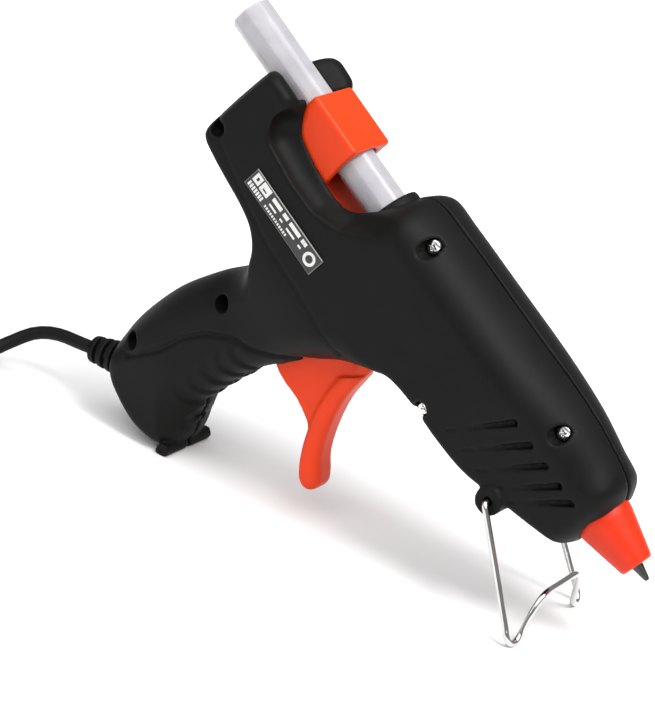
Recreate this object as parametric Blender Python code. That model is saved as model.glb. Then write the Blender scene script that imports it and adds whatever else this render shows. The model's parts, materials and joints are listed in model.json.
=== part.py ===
"""Hot-melt glue gun: two moulded half shells around a heated barrel, a trigger that feeds the
glue stick through a sliding carriage, a folding wire stand and a mains lead with its plug.

Every size is in millimetres in the gun frame: X runs forward along the glue stick's axis from
the housing's rear face, Y to the gun's left, Z up from that axis. The empty `stance` then
pitches the gun nose-down until its foot bar and its wire stand both rest on the floor, with
+Z up and the origin on the floor under the middle of the gun.
"""
import math

import bmesh
import bpy
import numpy as np
from mathutils import Matrix, Vector
from mathutils.geometry import delaunay_2d_cdt

MM = 0.001

# ---------------------------------------------------------------- clearances
GAP = 0.3            # between pieces that touch
FIT = 0.2            # round a pin in its hole
HALF_SEAM = 0.15     # from the parting plane to each shell's rim
STEP_BACK = 0.1      # bosses and ribs end this far short of the rim

# ---------------------------------------------------------------- housing
WALL = 2.4
BODY_HALF_WIDTH = 17.5
NOSE_HALF_WIDTH = 11.8
NOSE_TAPER_START = 100.0
BARREL_LENGTH = 151.5
GRIP_HALF_WIDTH = 13.8
HEEL_HALF_WIDTH = 11.2
EDGE_RADIUS = 11.0
TIGHT_EDGE_RADIUS = 4.5
EAR_LENGTH = 13.5

# side profile of the housing, clockwise from the top rear corner of the ears
REAR_PROFILE = [(1.2, 3.5), (4.5, 7.0), (9.0, 7.3), (13.2, 6.7), (16.0, 4.4), (18.2, 0.8), (22.0, -2.2),
                (29.0, -3.9), (38.0, -4.6), (44.0, -3.4)]
BARREL_PROFILE = [(48.3, 2.2), (51.8, 8.6), (54.6, 13.0), (59.0, 15.0), (68.0, 15.5), (84.0, 15.7),
                (102.0, 16.0), (118.0, 16.2), (128.0, 15.9), (137.0, 14.8), (143.5, 13.6),
                (147.3, 11.9), (149.8, 8.8), (151.3, 5.2), (BARREL_LENGTH, 1.5), (151.6, -6.6),
                (149.5, -12.0), (142.6, -15.0), (131.4, -18.2), (119.4, -21.4), (107.0, -21.9),
                (97.0, -21.7)]
GRIP_PROFILE = [(88.4, -22.8), (84.6, -25.3), (81.2, -28.1), (75.6, -34.5), (70.9, -41.4), (66.4, -49.8),
                (62.6, -59.8), (59.2, -69.5), (57.6, -79.0), (57.0, -86.0), (58.9, -90.7),
                (61.2, -96.5), (61.0, -102.5), (56.6, -106.5), (49.0, -108.6), (40.5, -108.0),
                (33.4, -105.8), (28.4, -101.4), (26.1, -94.0), (25.4, -84.0), (26.8, -70.0),
                (30.9, -57.0), (35.0, -48.0), (36.2, -41.5), (34.4, -35.9), (30.0, -32.3), (24.0, -30.7),
                (16.0, -29.8), (9.0, -28.9), (3.4, -27.6), (0.3, -24.6), (0.0, -19.0), (0.2, -8.0)]
OUTLINE_STEP = 5.0

# ---------------------------------------------------------------- glue stick, carriage and slot
STICK_ACROSS_FLATS = 11.2
STICK_REAR = -17.5
STICK_TIP = 85.0
EAR_SLOT_HALF = 8.6
FUNNEL_FOOT = 1.5        # height at which the ears' inner faces start to slope outwards
FUNNEL_SLOPE = 0.78
CARRIAGE_REAR = 15.0
CARRIAGE_LENGTH = 18.7
CARRIAGE_HALF_WIDTH = 9.3
CARRIAGE_TOP = 7.0
CARRIAGE_FLOOR = -11.0
TONGUE_THICK = 1.7
TONGUE_HALF_WIDTH = 7.4
TONGUE_FRONT = 47.5
RAIL_THICK = 2.0
RAIL_FRONT = 62.0
DRIVE_HALF_WIDTH = 5.0
DRIVE_CHEEK = 2.0
DRIVE_FRONT = 57.6
SLOT_FRONT = 47.2

# ---------------------------------------------------------------- trigger
PIVOT = (60.0, -42.0)
PIVOT_PIN_RADIUS = 2.0
PIVOT_PIN_HALF = 13.0
DRIVE_PIN = (53.8, -14.5)
DRIVE_PIN_RADIUS = 1.25
TRIGGER_TRAVEL = 26.0    # degrees
WEB_HALF = 3.0
HUB_HALF = 6.2
HUB_RADIUS = 5.0
ARM_HALF = 2.4
LEVER_HALF = 5.0

# ---------------------------------------------------------------- heated barrel
FEED_BORE = 6.6
FEED_REAR = 49.5
FEED_COLLAR_RADIUS = 8.8
FEED_COLLAR_LENGTH = 3.8
FEED_RADIUS = 7.7
SPIGOT_REAR = 70.0
SPIGOT_LENGTH = 9.0
SPIGOT_RADIUS = 7.0
CHAMBER_RADIUS = 7.7
CHAMBER_BORE = 6.35
CHAMBER_BORE_END = 100.0
CHAMBER_FRONT = 128.0
NECK_BORE = 1.5
NOZZLE_SHANK = 3.0
NOZZLE_REAR = 118.5
NOZZLE_TIP = 170.0
NOZZLE_COLLAR = 6.2
HEATER_SIZE = (24.0, 9.8, 4.0)
HEATER_REAR = 88.0
HEATER_TOP = -8.9
SLEEVE_REAR = 143.0
SLEEVE_RADIUS = 7.95
SLEEVE_TIP = 165.4
SLEEVE_TIP_RADIUS = 4.3

# ---------------------------------------------------------------- stand and foot
BOSS = (129.3, -17.2)
BOSS_RADIUS = 4.3
BOSS_HALF = 16.0
WIRE_RADIUS = 0.9
STAND_GRIP = 7.0         # how far each wire end goes into the boss
STAND_FOOT = (163.5, -34.6)
STAND_TRAVEL = 110.0     # degrees, folded back under the barrel
FOOT_BAR = (61.0, -102.6)
FOOT_BAR_RADIUS = 1.9
FOOT_BAR_HALF = 11.25
FOOT_FLAT = 0.4          # taken off the bar's underside where it rests

# ---------------------------------------------------------------- screws: (x, z, boss radius)
HOUSING_SCREWS = [(4.6, -19.5, 3.2), (41.0, -54.3, 3.2), (31.2, -89.0, 3.2), (67.0, 11.2, 2.5),
                  (126.5, 10.6, 2.3), (99.0, -17.7, 2.5)]
SCREW_HEAD_RADIUS = 2.1
SCREW_HEAD_HEIGHT = 1.5
SCREW_SHANK = 1.0
HEAD_DEPTHS = [7.5, 7.5, 6.5, 4.6, 4.6, 5.0]   # how deep each head sits under the side's crown
SCREW_REACH = 6.0        # how far a shank goes into the left shell

# ---------------------------------------------------------------- mains lead
RELIEF_MOUTH = (29.2, -105.6)     # where the lead's axis leaves the heel
LEAD_DIRECTION = (-0.78, -0.626)
LEAD_RADIUS = 2.0
RELIEF_NECK = 3.6
RELIEF_INSIDE = 10.0
RELIEF_FLANGE = 5.2
RELIEF_OUTSIDE = 12.0
CLAMP_AT = 17.0          # from the relief's mouth back inside the grip
CLAMP_SPREAD = 4.9
PLUG_BODY = (34.0, 27.0, 12.4)
PLUG_PIN_RADIUS = 2.0
PLUG_PIN_LENGTH = 19.0
PLUG_PIN_SPREAD = 19.0 / 2

CORD_INSIDE = 23.0       # sheathed lead inside the grip
CRIMP_X = 49.5
CRIMP_TOP = -76.0
CRIMP_LENGTH = 9.0
LEAD_ROUTE = [(-104.0, 0.3, 14.8), (-111.4, -1.0, 12.4), (-116.8, -5.6, 8.1), (-120.4, -12.4, 4.6),
              (-125.2, -19.4, 2.7), (-132.5, -25.0, 2.2), (-142.5, -29.1, 2.2)]
COIL_CENTRE = (-160.0, -4.0)
COIL_RADIUS = 11.05 * LEAD_RADIUS
COIL_ROWS = 3
COIL_LAYERS = 3
COIL_HEIGHT = COIL_LAYERS * 2 * LEAD_RADIUS + 0.4
PLUG_AT = (COIL_CENTRE[0] + 6.0, COIL_CENTRE[1] - 16.0, COIL_HEIGHT + 0.1)
CLIMB = [(-10.4, 16.0, 10.8), (-2.0, 19.6, 14.2), (9.0, 19.2, 16.2), (17.2, 15.2, 17.9),
         (22.3, 9.6, 18.6), (24.0, 2.0, 18.7), (21.9, -6.6, 18.7), (16.2, -13.2, 18.7),
         (10.0, -15.9, 18.7), (6.3, -16.0, 18.7)]
PLUG_TURN = 180.0

# ---------------------------------------------------------------- label
LABEL_X = (21.0, 52.0)
LABEL_Z = (-21.5, -15.2)
LABEL_THICK = 0.3

COLOURS = {
    "black_plastic": ((0.012, 0.012, 0.013), 0.55, 0.0),
    "orange_plastic": ((0.80, 0.085, 0.02), 0.40, 0.0),
    "orange_silicone": ((0.82, 0.07, 0.015), 0.45, 0.0),
    "black_silicone": ((0.015, 0.015, 0.016), 0.60, 0.0),
    "label_print": ((0.02, 0.02, 0.02), 0.45, 0.0),
    "bright_steel": ((0.72, 0.72, 0.70), 0.18, 1.0),
    "dark_steel": ((0.10, 0.11, 0.13), 0.35, 1.0),
    "cast_aluminium": ((0.62, 0.63, 0.64), 0.38, 1.0),
    "ceramic": ((0.62, 0.56, 0.46), 0.60, 0.0),
    "glue": ((0.80, 0.79, 0.78), 0.35, 0.0),
    "wire_insulation": ((0.75, 0.75, 0.72), 0.50, 0.0),
    "brass": ((0.78, 0.58, 0.28), 0.25, 1.0),
}


# ================================================================ scene and mesh helpers
def clear_scene():
    for old in list(bpy.data.objects):
        bpy.data.objects.remove(old, do_unlink=True)


def material(slot):
    """The Principled material of a slot, made once."""
    if slot in bpy.data.materials:
        return bpy.data.materials[slot]
    colour, roughness, metallic = COLOURS[slot]
    made = bpy.data.materials.new(slot)
    made.use_nodes = True
    shader = made.node_tree.nodes["Principled BSDF"]
    shader.inputs["Base Color"].default_value = (*colour, 1.0)
    shader.inputs["Roughness"].default_value = roughness
    shader.inputs["Metallic"].default_value = metallic
    return made


def piece(name, points, faces, slot, origin=(0.0, 0.0, 0.0), parent="stance", smooth=35.0):
    """A closed mesh object from points and faces in millimetres, with its origin at `origin`."""
    mesh = bpy.data.meshes.new(name)
    local = (np.asarray(points, float) - np.asarray(origin, float)) * MM
    mesh.from_pydata(local.tolist(), [], [list(map(int, face)) for face in faces])
    work = bmesh.new()
    work.from_mesh(mesh)
    bmesh.ops.recalc_face_normals(work, faces=work.faces)
    work.to_mesh(mesh)
    work.free()
    made = bpy.data.objects.new(name, mesh)
    bpy.context.scene.collection.objects.link(made)
    finish_object(made, slot, origin, parent, smooth)
    return made


def finish_object(made, slot, origin, parent, smooth=35.0):
    made.data.materials.append(material(slot))
    made.location = Vector(origin) * MM
    if parent:
        made.parent = bpy.data.objects[parent]
    if smooth and made.type == "MESH":
        made.data.shade_smooth()
        made.data.set_sharp_from_angle(angle=math.radians(smooth))


def combine(target, tools, operation):
    """Boolean all the tools into the target in one exact step, and drop them."""
    group = bpy.data.collections.new("tools")
    for tool in tools:
        group.objects.link(tool)
    step = target.modifiers.new("step", "BOOLEAN")
    step.operation = operation
    step.solver = "EXACT"
    step.operand_type = "COLLECTION"
    step.collection = group
    bpy.context.view_layer.update()
    graph = bpy.context.evaluated_depsgraph_get()
    mesh = bpy.data.meshes.new_from_object(target.evaluated_get(graph))
    target.modifiers.clear()
    target.data = mesh
    for tool in tools:
        bpy.data.objects.remove(tool, do_unlink=True)
    bpy.data.collections.remove(group)
    return target


def cut(target, *tools):
    return combine(target, tools, "DIFFERENCE")


def unite(target, *tools):
    return combine(target, tools, "UNION")


def clip(target, *tools):
    return combine(target, tools, "INTERSECT")


def sharpen(made, angle=35.0):
    made.data.shade_smooth()
    made.data.set_sharp_from_angle(angle=math.radians(angle))
    return made


# ================================================================ solids
def box(name, low, high, slot="black_plastic", **place):
    """A box between two corners."""
    corners = [(x, y, z) for x in (low[0], high[0]) for y in (low[1], high[1])
               for z in (low[2], high[2])]
    faces = [(0, 1, 3, 2), (4, 6, 7, 5), (0, 4, 5, 1), (2, 3, 7, 6), (0, 2, 6, 4), (1, 5, 7, 3)]
    return piece(name, corners, faces, slot, **place)


def prism(name, profile, low, high, slot="black_plastic", axis="y", **place):
    """A closed profile pushed along Y, profile in (x, z), or along X, profile in (y, z)."""
    count = len(profile)
    if axis == "y":
        points = [(a, side, b) for side in (low, high) for a, b in profile]
    else:
        points = [(side, a, b) for side in (low, high) for a, b in profile]
    faces = [tuple(range(count)), tuple(range(2 * count - 1, count - 1, -1))]
    faces += [(i, (i + 1) % count, count + (i + 1) % count, count + i) for i in range(count)]
    return piece(name, points, faces, slot, **place)


def lathe(name, profile, slot, at=(0.0, 0.0, 0.0), along=(1.0, 0.0, 0.0), sides=32, **place):
    """A profile of (distance, radius) turned about the axis `along` through `at`.

    A profile that ends on the axis is closed by its poles, and any other is a closed loop.
    """
    axis = Vector(along).normalized()
    turn = Vector((1.0, 0.0, 0.0)).rotation_difference(axis).to_matrix()
    points, rings = [], []
    for distance, radius in profile:
        if radius < 1e-6:
            rings.append([len(points)])
            points.append(turn @ Vector((distance, 0.0, 0.0)) + Vector(at))
            continue
        ring = []
        for k in range(sides):
            angle = 2.0 * math.pi * (k + 0.5) / sides
            ring.append(len(points))
            spot = Vector((distance, radius * math.cos(angle), radius * math.sin(angle)))
            points.append(turn @ spot + Vector(at))
        rings.append(ring)
    pairs = list(zip(rings, rings[1:]))
    if len(rings[0]) > 1:
        pairs.append((rings[-1], rings[0]))
    faces = []
    for first, second in pairs:
        for k in range(sides):
            quad = [first[k % len(first)], first[(k + 1) % len(first)],
                    second[(k + 1) % len(second)], second[k % len(second)]]
            corners = list(dict.fromkeys(quad))
            if len(corners) > 2:
                faces.append(corners)
    return piece(name, [tuple(p) for p in points], faces, slot, **place)


def rod(name, start, end, radius, slot="black_plastic", sides=24, **place):
    """A cylinder between two points."""
    reach = Vector(end) - Vector(start)
    profile = [(0.0, 0.0), (0.0, radius), (reach.length, radius), (reach.length, 0.0)]
    return lathe(name, profile, slot, at=start, along=reach, sides=sides, **place)


def cross_rod(name, centre, radius, low, high, slot="black_plastic", sides=24, **place):
    """A cylinder along Y about (x, z)."""
    return rod(name, (centre[0], low, centre[1]), (centre[0], high, centre[1]), radius, slot,
               sides, **place)


def rounded_box_profile(half, low, high, radius, steps=4):
    """A rectangle with round corners, as (y, z) points."""
    points = []
    for cy, cz, start in ((half - radius, high - radius, 0), (radius - half, high - radius, 90),
                          (radius - half, low + radius, 180), (half - radius, low + radius, 270)):
        for k in range(steps + 1):
            angle = math.radians(start + 90.0 * k / steps)
            points.append((cy + radius * math.cos(angle), cz + radius * math.sin(angle)))
    return points


# ================================================================ curves
def catmull(points, per_span, closed=False):
    """A smooth curve through the points, `per_span` steps between each two."""
    known = [Vector(p) for p in points]
    if closed:
        known = [known[-1]] + known + known[:2]
    else:
        known = [2 * known[0] - known[1]] + known + [2 * known[-1] - known[-2]]
    path = []
    for a, b, c, d in zip(known, known[1:], known[2:], known[3:]):
        for k in range(per_span):
            t = k / per_span
            path.append(0.5 * (2 * b + (c - a) * t + (2 * a - 5 * b + 4 * c - d) * t * t
                               + (3 * b - a - 3 * c + d) * t ** 3))
    if not closed:
        path.append(known[-2])
    return path


def even(path, step, closed=False):
    """The same path with points about `step` apart."""
    spots = np.array([tuple(p) for p in path])
    if closed:
        spots = np.vstack([spots, spots[:1]])
    run = np.concatenate([[0.0], np.cumsum(np.linalg.norm(np.diff(spots, axis=0), axis=1))])
    count = max(2, round(run[-1] / step))
    wanted = np.linspace(0.0, run[-1], count + 1)
    out = np.stack([np.interp(wanted, run, spots[:, k]) for k in range(spots.shape[1])], axis=1)
    return out[:-1] if closed else out


def wire(name, path, radius, slot, resolution=2, origin=(0.0, 0.0, 0.0), parent="stance"):
    """A round wire along the path: a poly curve with a bevel and filled ends."""
    curve = bpy.data.curves.new(name, "CURVE")
    curve.dimensions = "3D"
    curve.bevel_depth = radius * MM
    curve.bevel_resolution = resolution
    curve.use_fill_caps = True
    spline = curve.splines.new("POLY")
    spline.points.add(len(path) - 1)
    for spot, target in zip(path, spline.points):
        place = (Vector(spot) - Vector(origin)) * MM
        target.co = (*place, 1.0)
    spline.use_smooth = True
    made = bpy.data.objects.new(name, curve)
    bpy.context.scene.collection.objects.link(made)
    finish_object(made, slot, origin, parent)
    return made


def solid_wire(name, path, radius):
    """The same wire as a mesh in world millimetres, ready to be united with a solid."""
    curve = wire(name + "_line", path, radius, "black_silicone", parent=None)
    bpy.context.view_layer.update()
    mesh = bpy.data.meshes.new_from_object(curve.evaluated_get(bpy.context.evaluated_depsgraph_get()))
    bpy.data.objects.remove(curve)
    made = bpy.data.objects.new(name, mesh)
    bpy.context.scene.collection.objects.link(made)
    finish_object(made, "black_silicone", (0.0, 0.0, 0.0), None)
    return made


# ================================================================ the housing's form
def smooth_step(value, low, high):
    share = np.clip((value - low) / (high - low), 0.0, 1.0)
    return share * share * (3.0 - 2.0 * share)


def side_profile():
    """The housing's closed outline in (x, z), as an even smooth loop."""
    corners = [(x, z, 0.0) for x, z in REAR_PROFILE + BARREL_PROFILE + GRIP_PROFILE]
    return even(catmull(corners, 8, closed=True), OUTLINE_STEP, closed=True)[:, :2]


def inward(loop, distance):
    """The loop moved inwards along its normals."""
    tangent = np.roll(loop, -1, axis=0) - np.roll(loop, 1, axis=0)
    tangent /= np.linalg.norm(tangent, axis=1)[:, None]
    normal = np.stack([tangent[:, 1], -tangent[:, 0]], axis=1)
    return loop + normal * distance


def to_edge(points, loop):
    """Each point's distance to the loop."""
    start, reach = loop, np.roll(loop, -1, axis=0) - loop
    offset = points[:, None, :] - start[None]
    share = np.clip((offset * reach).sum(2) / (reach * reach).sum(1), 0.0, 1.0)
    return np.linalg.norm(offset - share[..., None] * reach, axis=2).min(axis=1)


def half_width(points):
    """The housing's half width at each (x, z) away from its rounded edges."""
    x, z = points[:, 0], points[:, 1]
    barrel = BODY_HALF_WIDTH - (BODY_HALF_WIDTH - NOSE_HALF_WIDTH) * smooth_step(
        x, NOSE_TAPER_START, BARREL_LENGTH + 6.0)
    grip = HEEL_HALF_WIDTH + (GRIP_HALF_WIDTH - HEEL_HALF_WIDTH) * smooth_step(z, -108.0, -80.0)
    return grip + (barrel - grip) * smooth_step(z, -56.0, -30.0)


def edge_radius(points):
    """The radius over which the side rolls into the edge: tight round the rear and the slot,
    under the barrel and round the heel, less so at the nose, wide elsewhere."""
    x, z = points[:, 0], points[:, 1]
    rear = smooth_step(z, -46.0, -36.0) * (1.0 - smooth_step(x, 44.0, 66.0))
    under = (1.0 - smooth_step(z, -12.0, -4.0)) * smooth_step(x, 68.0, 82.0)
    heel = 1.0 - smooth_step(z, -104.0, -92.0)
    nose = 0.75 * smooth_step(x, 138.0, 148.0)
    tight = np.maximum(np.maximum(rear, under), np.maximum(heel, nose))
    return EDGE_RADIUS + (TIGHT_EDGE_RADIUS - EDGE_RADIUS) * tight


def side_height(points, loop, inset):
    """How far the side stands from the parting plane: the half width, rolled over at the edge
    on a quarter ellipse of the local edge radius."""
    depth = np.maximum(to_edge(points, loop) - inset, 0.0)
    share = np.minimum(depth / (edge_radius(points) - 0.5 * inset), 1.0)
    rolled = np.sqrt(np.maximum(1.0 - (1.0 - share) ** 2, 0.0))
    return HALF_SEAM + (half_width(points) - inset - HALF_SEAM) * rolled


def side_sheet(loop, inset, offsets, grid):
    """The side surface inside the loop: (x, z) points, their heights and triangles.

    The first points are the loop moved in by the inset, in order.
    """
    rim = inward(loop, inset) if inset else loop
    points = [rim]
    for offset, every in offsets:
        ring = inward(loop, inset + offset)[::every]
        points.append(ring[to_edge(ring, loop) > 0.97 * (inset + offset)])
    low, high = loop.min(0), loop.max(0)
    xs, zs = np.meshgrid(np.arange(low[0], high[0], grid), np.arange(low[1], high[1], grid))
    field = np.stack([xs.ravel(), zs.ravel()], axis=1)
    inside = winding(field, loop) & (to_edge(field, loop) > inset + offsets[-1][0] + 0.5 * grid)
    points = np.concatenate(points + [field[inside]])
    count = len(rim)
    spots, _, faces, _, _, _ = delaunay_2d_cdt(
        [Vector(p) for p in points], [], [list(range(count))], 1, 1e-4)
    flat = np.array([tuple(p) for p in spots])
    heights = side_height(flat, loop, inset)
    heights[:count] = HALF_SEAM
    return flat, heights, [tuple(f) for f in faces], count


def winding(points, loop):
    """Whether each point lies inside the loop, by crossings of a ray along +X."""
    inside = np.zeros(len(points), bool)
    for (x0, z0), (x1, z1) in zip(loop, np.roll(loop, -1, axis=0)):
        crosses = (z0 > points[:, 1]) != (z1 > points[:, 1])
        if z0 == z1:
            continue
        reach = x0 + (points[:, 1] - z0) / (z1 - z0) * (x1 - x0)
        inside ^= crosses & (points[:, 0] < reach)
    return inside


OUTER_RINGS = [(0.35, 1), (1.3, 1), (2.9, 1), (5.2, 2), (8.2, 2), (11.2, 3)]
INNER_RINGS = [(0.5, 1), (2.6, 2), (6.5, 3)]


def half_solid(name, side, inset):
    """A closed solid: one side's surface at the inset, closed by the parting plane."""
    loop = side_profile()
    flat, heights, faces, count = side_sheet(loop, inset, OUTER_RINGS, 8.0)
    points = [(x, side * h, z) for (x, z), h in zip(flat, heights)]
    return piece(name, points, faces + [tuple(range(count))], "black_plastic")


def hollow_half(name, side):
    """One half shell: outer side, inner side a wall thickness in, and the rim between them."""
    loop = side_profile()
    outer, outer_h, outer_faces, count = side_sheet(loop, 0.0, OUTER_RINGS, 8.0)
    inner, inner_h, inner_faces, _ = side_sheet(loop, WALL, INNER_RINGS, 11.0)
    points = [(x, side * h, z) for (x, z), h in zip(outer, outer_h)]
    points += [(x, side * h, z) for (x, z), h in zip(inner, inner_h)]
    start = len(outer)
    faces = list(outer_faces) + [tuple(start + k for k in face) for face in inner_faces]
    faces += [(k, (k + 1) % count, start + (k + 1) % count, start + k) for k in range(count)]
    return piece(name, points, faces, "black_plastic")


# ================================================================ shells
def along_lead(distance, across=0.0, y=0.0):
    """A point on the lead's axis in the heel, measured outwards from the relief's mouth."""
    dx, dz = LEAD_DIRECTION
    return (RELIEF_MOUTH[0] + dx * distance - dz * across, y,
            RELIEF_MOUTH[1] + dz * distance + dx * across)


def slot_cutter(name):
    """The open-topped channel for stick and carriage, with the funnel between the ears."""
    edge = BODY_HALF_WIDTH + 1.0
    rise = FUNNEL_SLOPE * (edge - EAR_SLOT_HALF)
    ears = [(EAR_SLOT_HALF * math.cos(a), EAR_SLOT_HALF * math.sin(a))
            for a in np.linspace(-math.pi, 0.0, 9)]
    ears += [(EAR_SLOT_HALF, FUNNEL_FOOT), (edge, FUNNEL_FOOT + rise), (edge, 20.0),
             (-edge, 20.0), (-edge, FUNNEL_FOOT + rise), (-EAR_SLOT_HALF, FUNNEL_FOOT)]
    front = CARRIAGE_HALF_WIDTH + GAP
    floor = CARRIAGE_FLOOR - GAP
    cutter = prism(name, ears, -6.0, EAR_LENGTH - 0.4, axis="x")
    well = box("well", (EAR_LENGTH - 1.0, -front, floor), (SLOT_FRONT, front, 20.0))
    tunnel = box("tunnel", (EAR_LENGTH, -TONGUE_HALF_WIDTH - GAP, floor),
                 (RAIL_FRONT + 0.5, TONGUE_HALF_WIDTH + GAP, floor + TONGUE_THICK + 2 * GAP))
    return unite(cutter, well, tunnel)


def trigger_cutter(name):
    """The way the trigger's lever and web take through the housing's underside."""
    reach = [(74.0, -20.0), (88.5, -22.5), (88.5, -32.0), (76.0, -46.0), (72.0, -66.0),
             (50.0, -66.0), (50.0, -62.0), (52.0, -52.0), (57.0, -48.0), (66.0, -34.0)]
    return prism(name, reach, -HUB_HALF - GAP, HUB_HALF + GAP)


def vent_cutters(side):
    """Five slanting louvres, each a shallow wedge that deepens towards its upper end."""
    cutters = []
    for k in range(5):
        low = Vector((106.6 + 7.2 * k, 0.0, -11.6 + 0.9 * k))
        high = Vector((118.0 + 6.4 * k, 0.0, 4.6))
        run = (high - low).normalized()
        over = Vector((run.z, 0.0, -run.x)) * 1.1
        depth = float(half_width(np.array([[high.x, high.z]]))[0])
        top, bottom = depth + 3.0, depth - 1.5
        points = []
        for centre, floor in ((low, depth - 0.2), (high, bottom)):
            for shift in (-over, over):
                spot = centre + shift
                points += [(spot.x, side * floor, spot.z), (spot.x, side * top, spot.z)]
        faces = [(0, 1, 3, 2), (4, 6, 7, 5), (0, 4, 5, 1), (2, 3, 7, 6), (0, 2, 6, 4), (1, 5, 7, 3)]
        cutters.append(piece("vent", points, faces, "black_plastic"))
    return cutters


def shell_fittings(side):
    """What stands inside one shell: screw bosses, cradle ribs, rail, pivot and stand bosses."""
    near, far = side * (HALF_SEAM + STEP_BACK), side * (BODY_HALF_WIDTH + 2.0)
    low, high = min(near, far), max(near, far)
    parts = [cross_rod("boss", (x, z), radius, low, high, sides=20)
             for x, z, radius in HOUSING_SCREWS]
    hub_room = side * (HUB_HALF + GAP)
    spring_room = side * (HUB_HALF + 3.6) if side > 0 else hub_room
    parts.append(cross_rod("pivot_boss", PIVOT, PIVOT_PIN_RADIUS + 2.4,
                           min(spring_room, far), max(spring_room, far), sides=20))
    for x in (81.0, 116.6):
        parts.append(box("rib", (x, low, -25.0), (x + 1.8, high, 20.0)))
    parts.append(box("sleeve_rib", (57.0, low, FUNNEL_FOOT - 9.0), (58.8, high, 20.0)))
    rail = (DRIVE_HALF_WIDTH + GAP + 0.1) * side
    parts.append(box("rail", (1.0, min(rail, far), CARRIAGE_FLOOR - GAP - RAIL_THICK),
                     (RAIL_FRONT, max(rail, far), CARRIAGE_FLOOR)))
    fittings = parts[0]
    unite(fittings, *parts[1:])
    clip(fittings, half_solid("core", side, 1.1))
    if side > 0:
        unite(fittings, *clamp_posts())
    return fittings


def clamp_posts():
    """Two posts in the left shell that carry the cord clamp."""
    posts = []
    for across in (-CLAMP_SPREAD, CLAMP_SPREAD):
        x, _, z = along_lead(-CLAMP_AT, across)
        wall = float(half_width(np.array([[x, z]]))[0]) - 0.5 * WALL
        posts.append(cross_rod("post", (x, z), 2.3, -LEAD_RADIUS, wall, sides=16))
    return posts


def shell(name, side):
    """One moulded half shell with every opening cut."""
    made = hollow_half(name, side)
    unite(made, shell_fittings(side))
    near = side * (HALF_SEAM + STEP_BACK)
    out = side * BOSS_HALF
    stand_boss = cross_rod("boss", BOSS, BOSS_RADIUS, min(near, out), max(near, out), sides=28)
    end = side * FOOT_BAR_HALF
    foot = cross_rod("foot", FOOT_BAR, FOOT_BAR_RADIUS, min(near, end), max(near, end), sides=16)
    unite(made, stand_boss, foot)
    cut(made, *shell_cutters(side))
    return sharpen(made)


def shell_cutters(side):
    """Everything that is open in one shell."""
    tools = [slot_cutter("slot"), trigger_cutter("trigger_way"), *vent_cutters(side)]
    tools += [
        rod("collar_seat", (40.0, 0, 0), (FEED_REAR + FEED_COLLAR_LENGTH + GAP, 0, 0),
            FEED_COLLAR_RADIUS + GAP, sides=32),
        rod("feed_way", (FEED_REAR, 0, 0), (119.5, 0, 0), CHAMBER_RADIUS + GAP, sides=32),
        rod("nose_way", (SLEEVE_REAR - 2.0, 0, 0), (BARREL_LENGTH + 5.0, 0, 0),
            SLEEVE_RADIUS + GAP, sides=36),
        box("heater_way", (80.0, -7.3, -14.6), (119.5, 7.3, -1.0)),
        rod("relief_way", along_lead(-RELIEF_INSIDE), along_lead(8.0), RELIEF_NECK + GAP, sides=20),
        rod("flange_seat", along_lead(-RELIEF_INSIDE - GAP), along_lead(-RELIEF_INSIDE + 1.9 + GAP),
            RELIEF_FLANGE + GAP, sides=20),
        cross_rod("pin_way", PIVOT, PIVOT_PIN_RADIUS + FIT, -PIVOT_PIN_HALF - GAP,
                  PIVOT_PIN_HALF + GAP, sides=20)]
    grip, clear = side * (BOSS_HALF - STAND_GRIP - GAP), side * (BODY_HALF_WIDTH + 5.0)
    tools.append(cross_rod("wire_way", BOSS, WIRE_RADIUS + FIT + 0.1, min(grip, clear),
                           max(grip, clear), sides=14))
    for spot, depth in zip(HOUSING_SCREWS, HEAD_DEPTHS):
        tools += screw_cutters(spot, depth, side)
    tools.append(foot_cutter())
    if side > 0:
        tools.append(cross_rod("spring_way", PIVOT, PIVOT_PIN_RADIUS + 2.2, HUB_HALF - 1.0,
                               HUB_HALF + 3.6, sides=20))
        for across in (-CLAMP_SPREAD, CLAMP_SPREAD):
            x, _, z = along_lead(-CLAMP_AT, across)
            tools.append(cross_rod("pilot", (x, z), SCREW_SHANK + FIT - 0.1, -LEAD_RADIUS - 1.0,
                                   SCREW_REACH - 1.0, sides=12))
    return tools


def foot_cutter():
    """What comes off the foot bar's underside, square to the floor the gun stands on."""
    pitch = stance_pitch()
    bar, along = Vector(FOOT_BAR), Vector((math.cos(pitch), math.sin(pitch)))
    down = Vector((math.sin(pitch), -math.cos(pitch)))
    level = FOOT_BAR_RADIUS - FOOT_FLAT
    corners = [bar + along * a + down * b for a, b in
               ((-4.0, level), (4.0, level), (4.0, level + 4.0), (-4.0, level + 4.0))]
    return prism("foot_cut", [(p.x, p.y) for p in corners], -FOOT_BAR_HALF - 1, FOOT_BAR_HALF + 1)


def crown(spot):
    """The housing's side height over a screw, on the full profile."""
    return float(side_height(np.array([spot[:2]]), side_profile(), 0.0)[0])


def screw_cutters(spot, depth, side):
    """A counterbore and a shank hole in the right shell, a blind pilot hole in the left."""
    x, z, _ = spot
    seat = crown(spot) - depth
    if side < 0:
        wide = cross_rod("counterbore", (x, z), SCREW_HEAD_RADIUS + FIT, -BODY_HALF_WIDTH - 4.0,
                         -seat, sides=20)
        narrow = cross_rod("shank_way", (x, z), SCREW_SHANK + FIT, -seat - 1.0, 1.0, sides=12)
        return [wide, narrow]
    return [cross_rod("pilot", (x, z), SCREW_SHANK + FIT, -1.0, SCREW_REACH + GAP, sides=12)]


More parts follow.
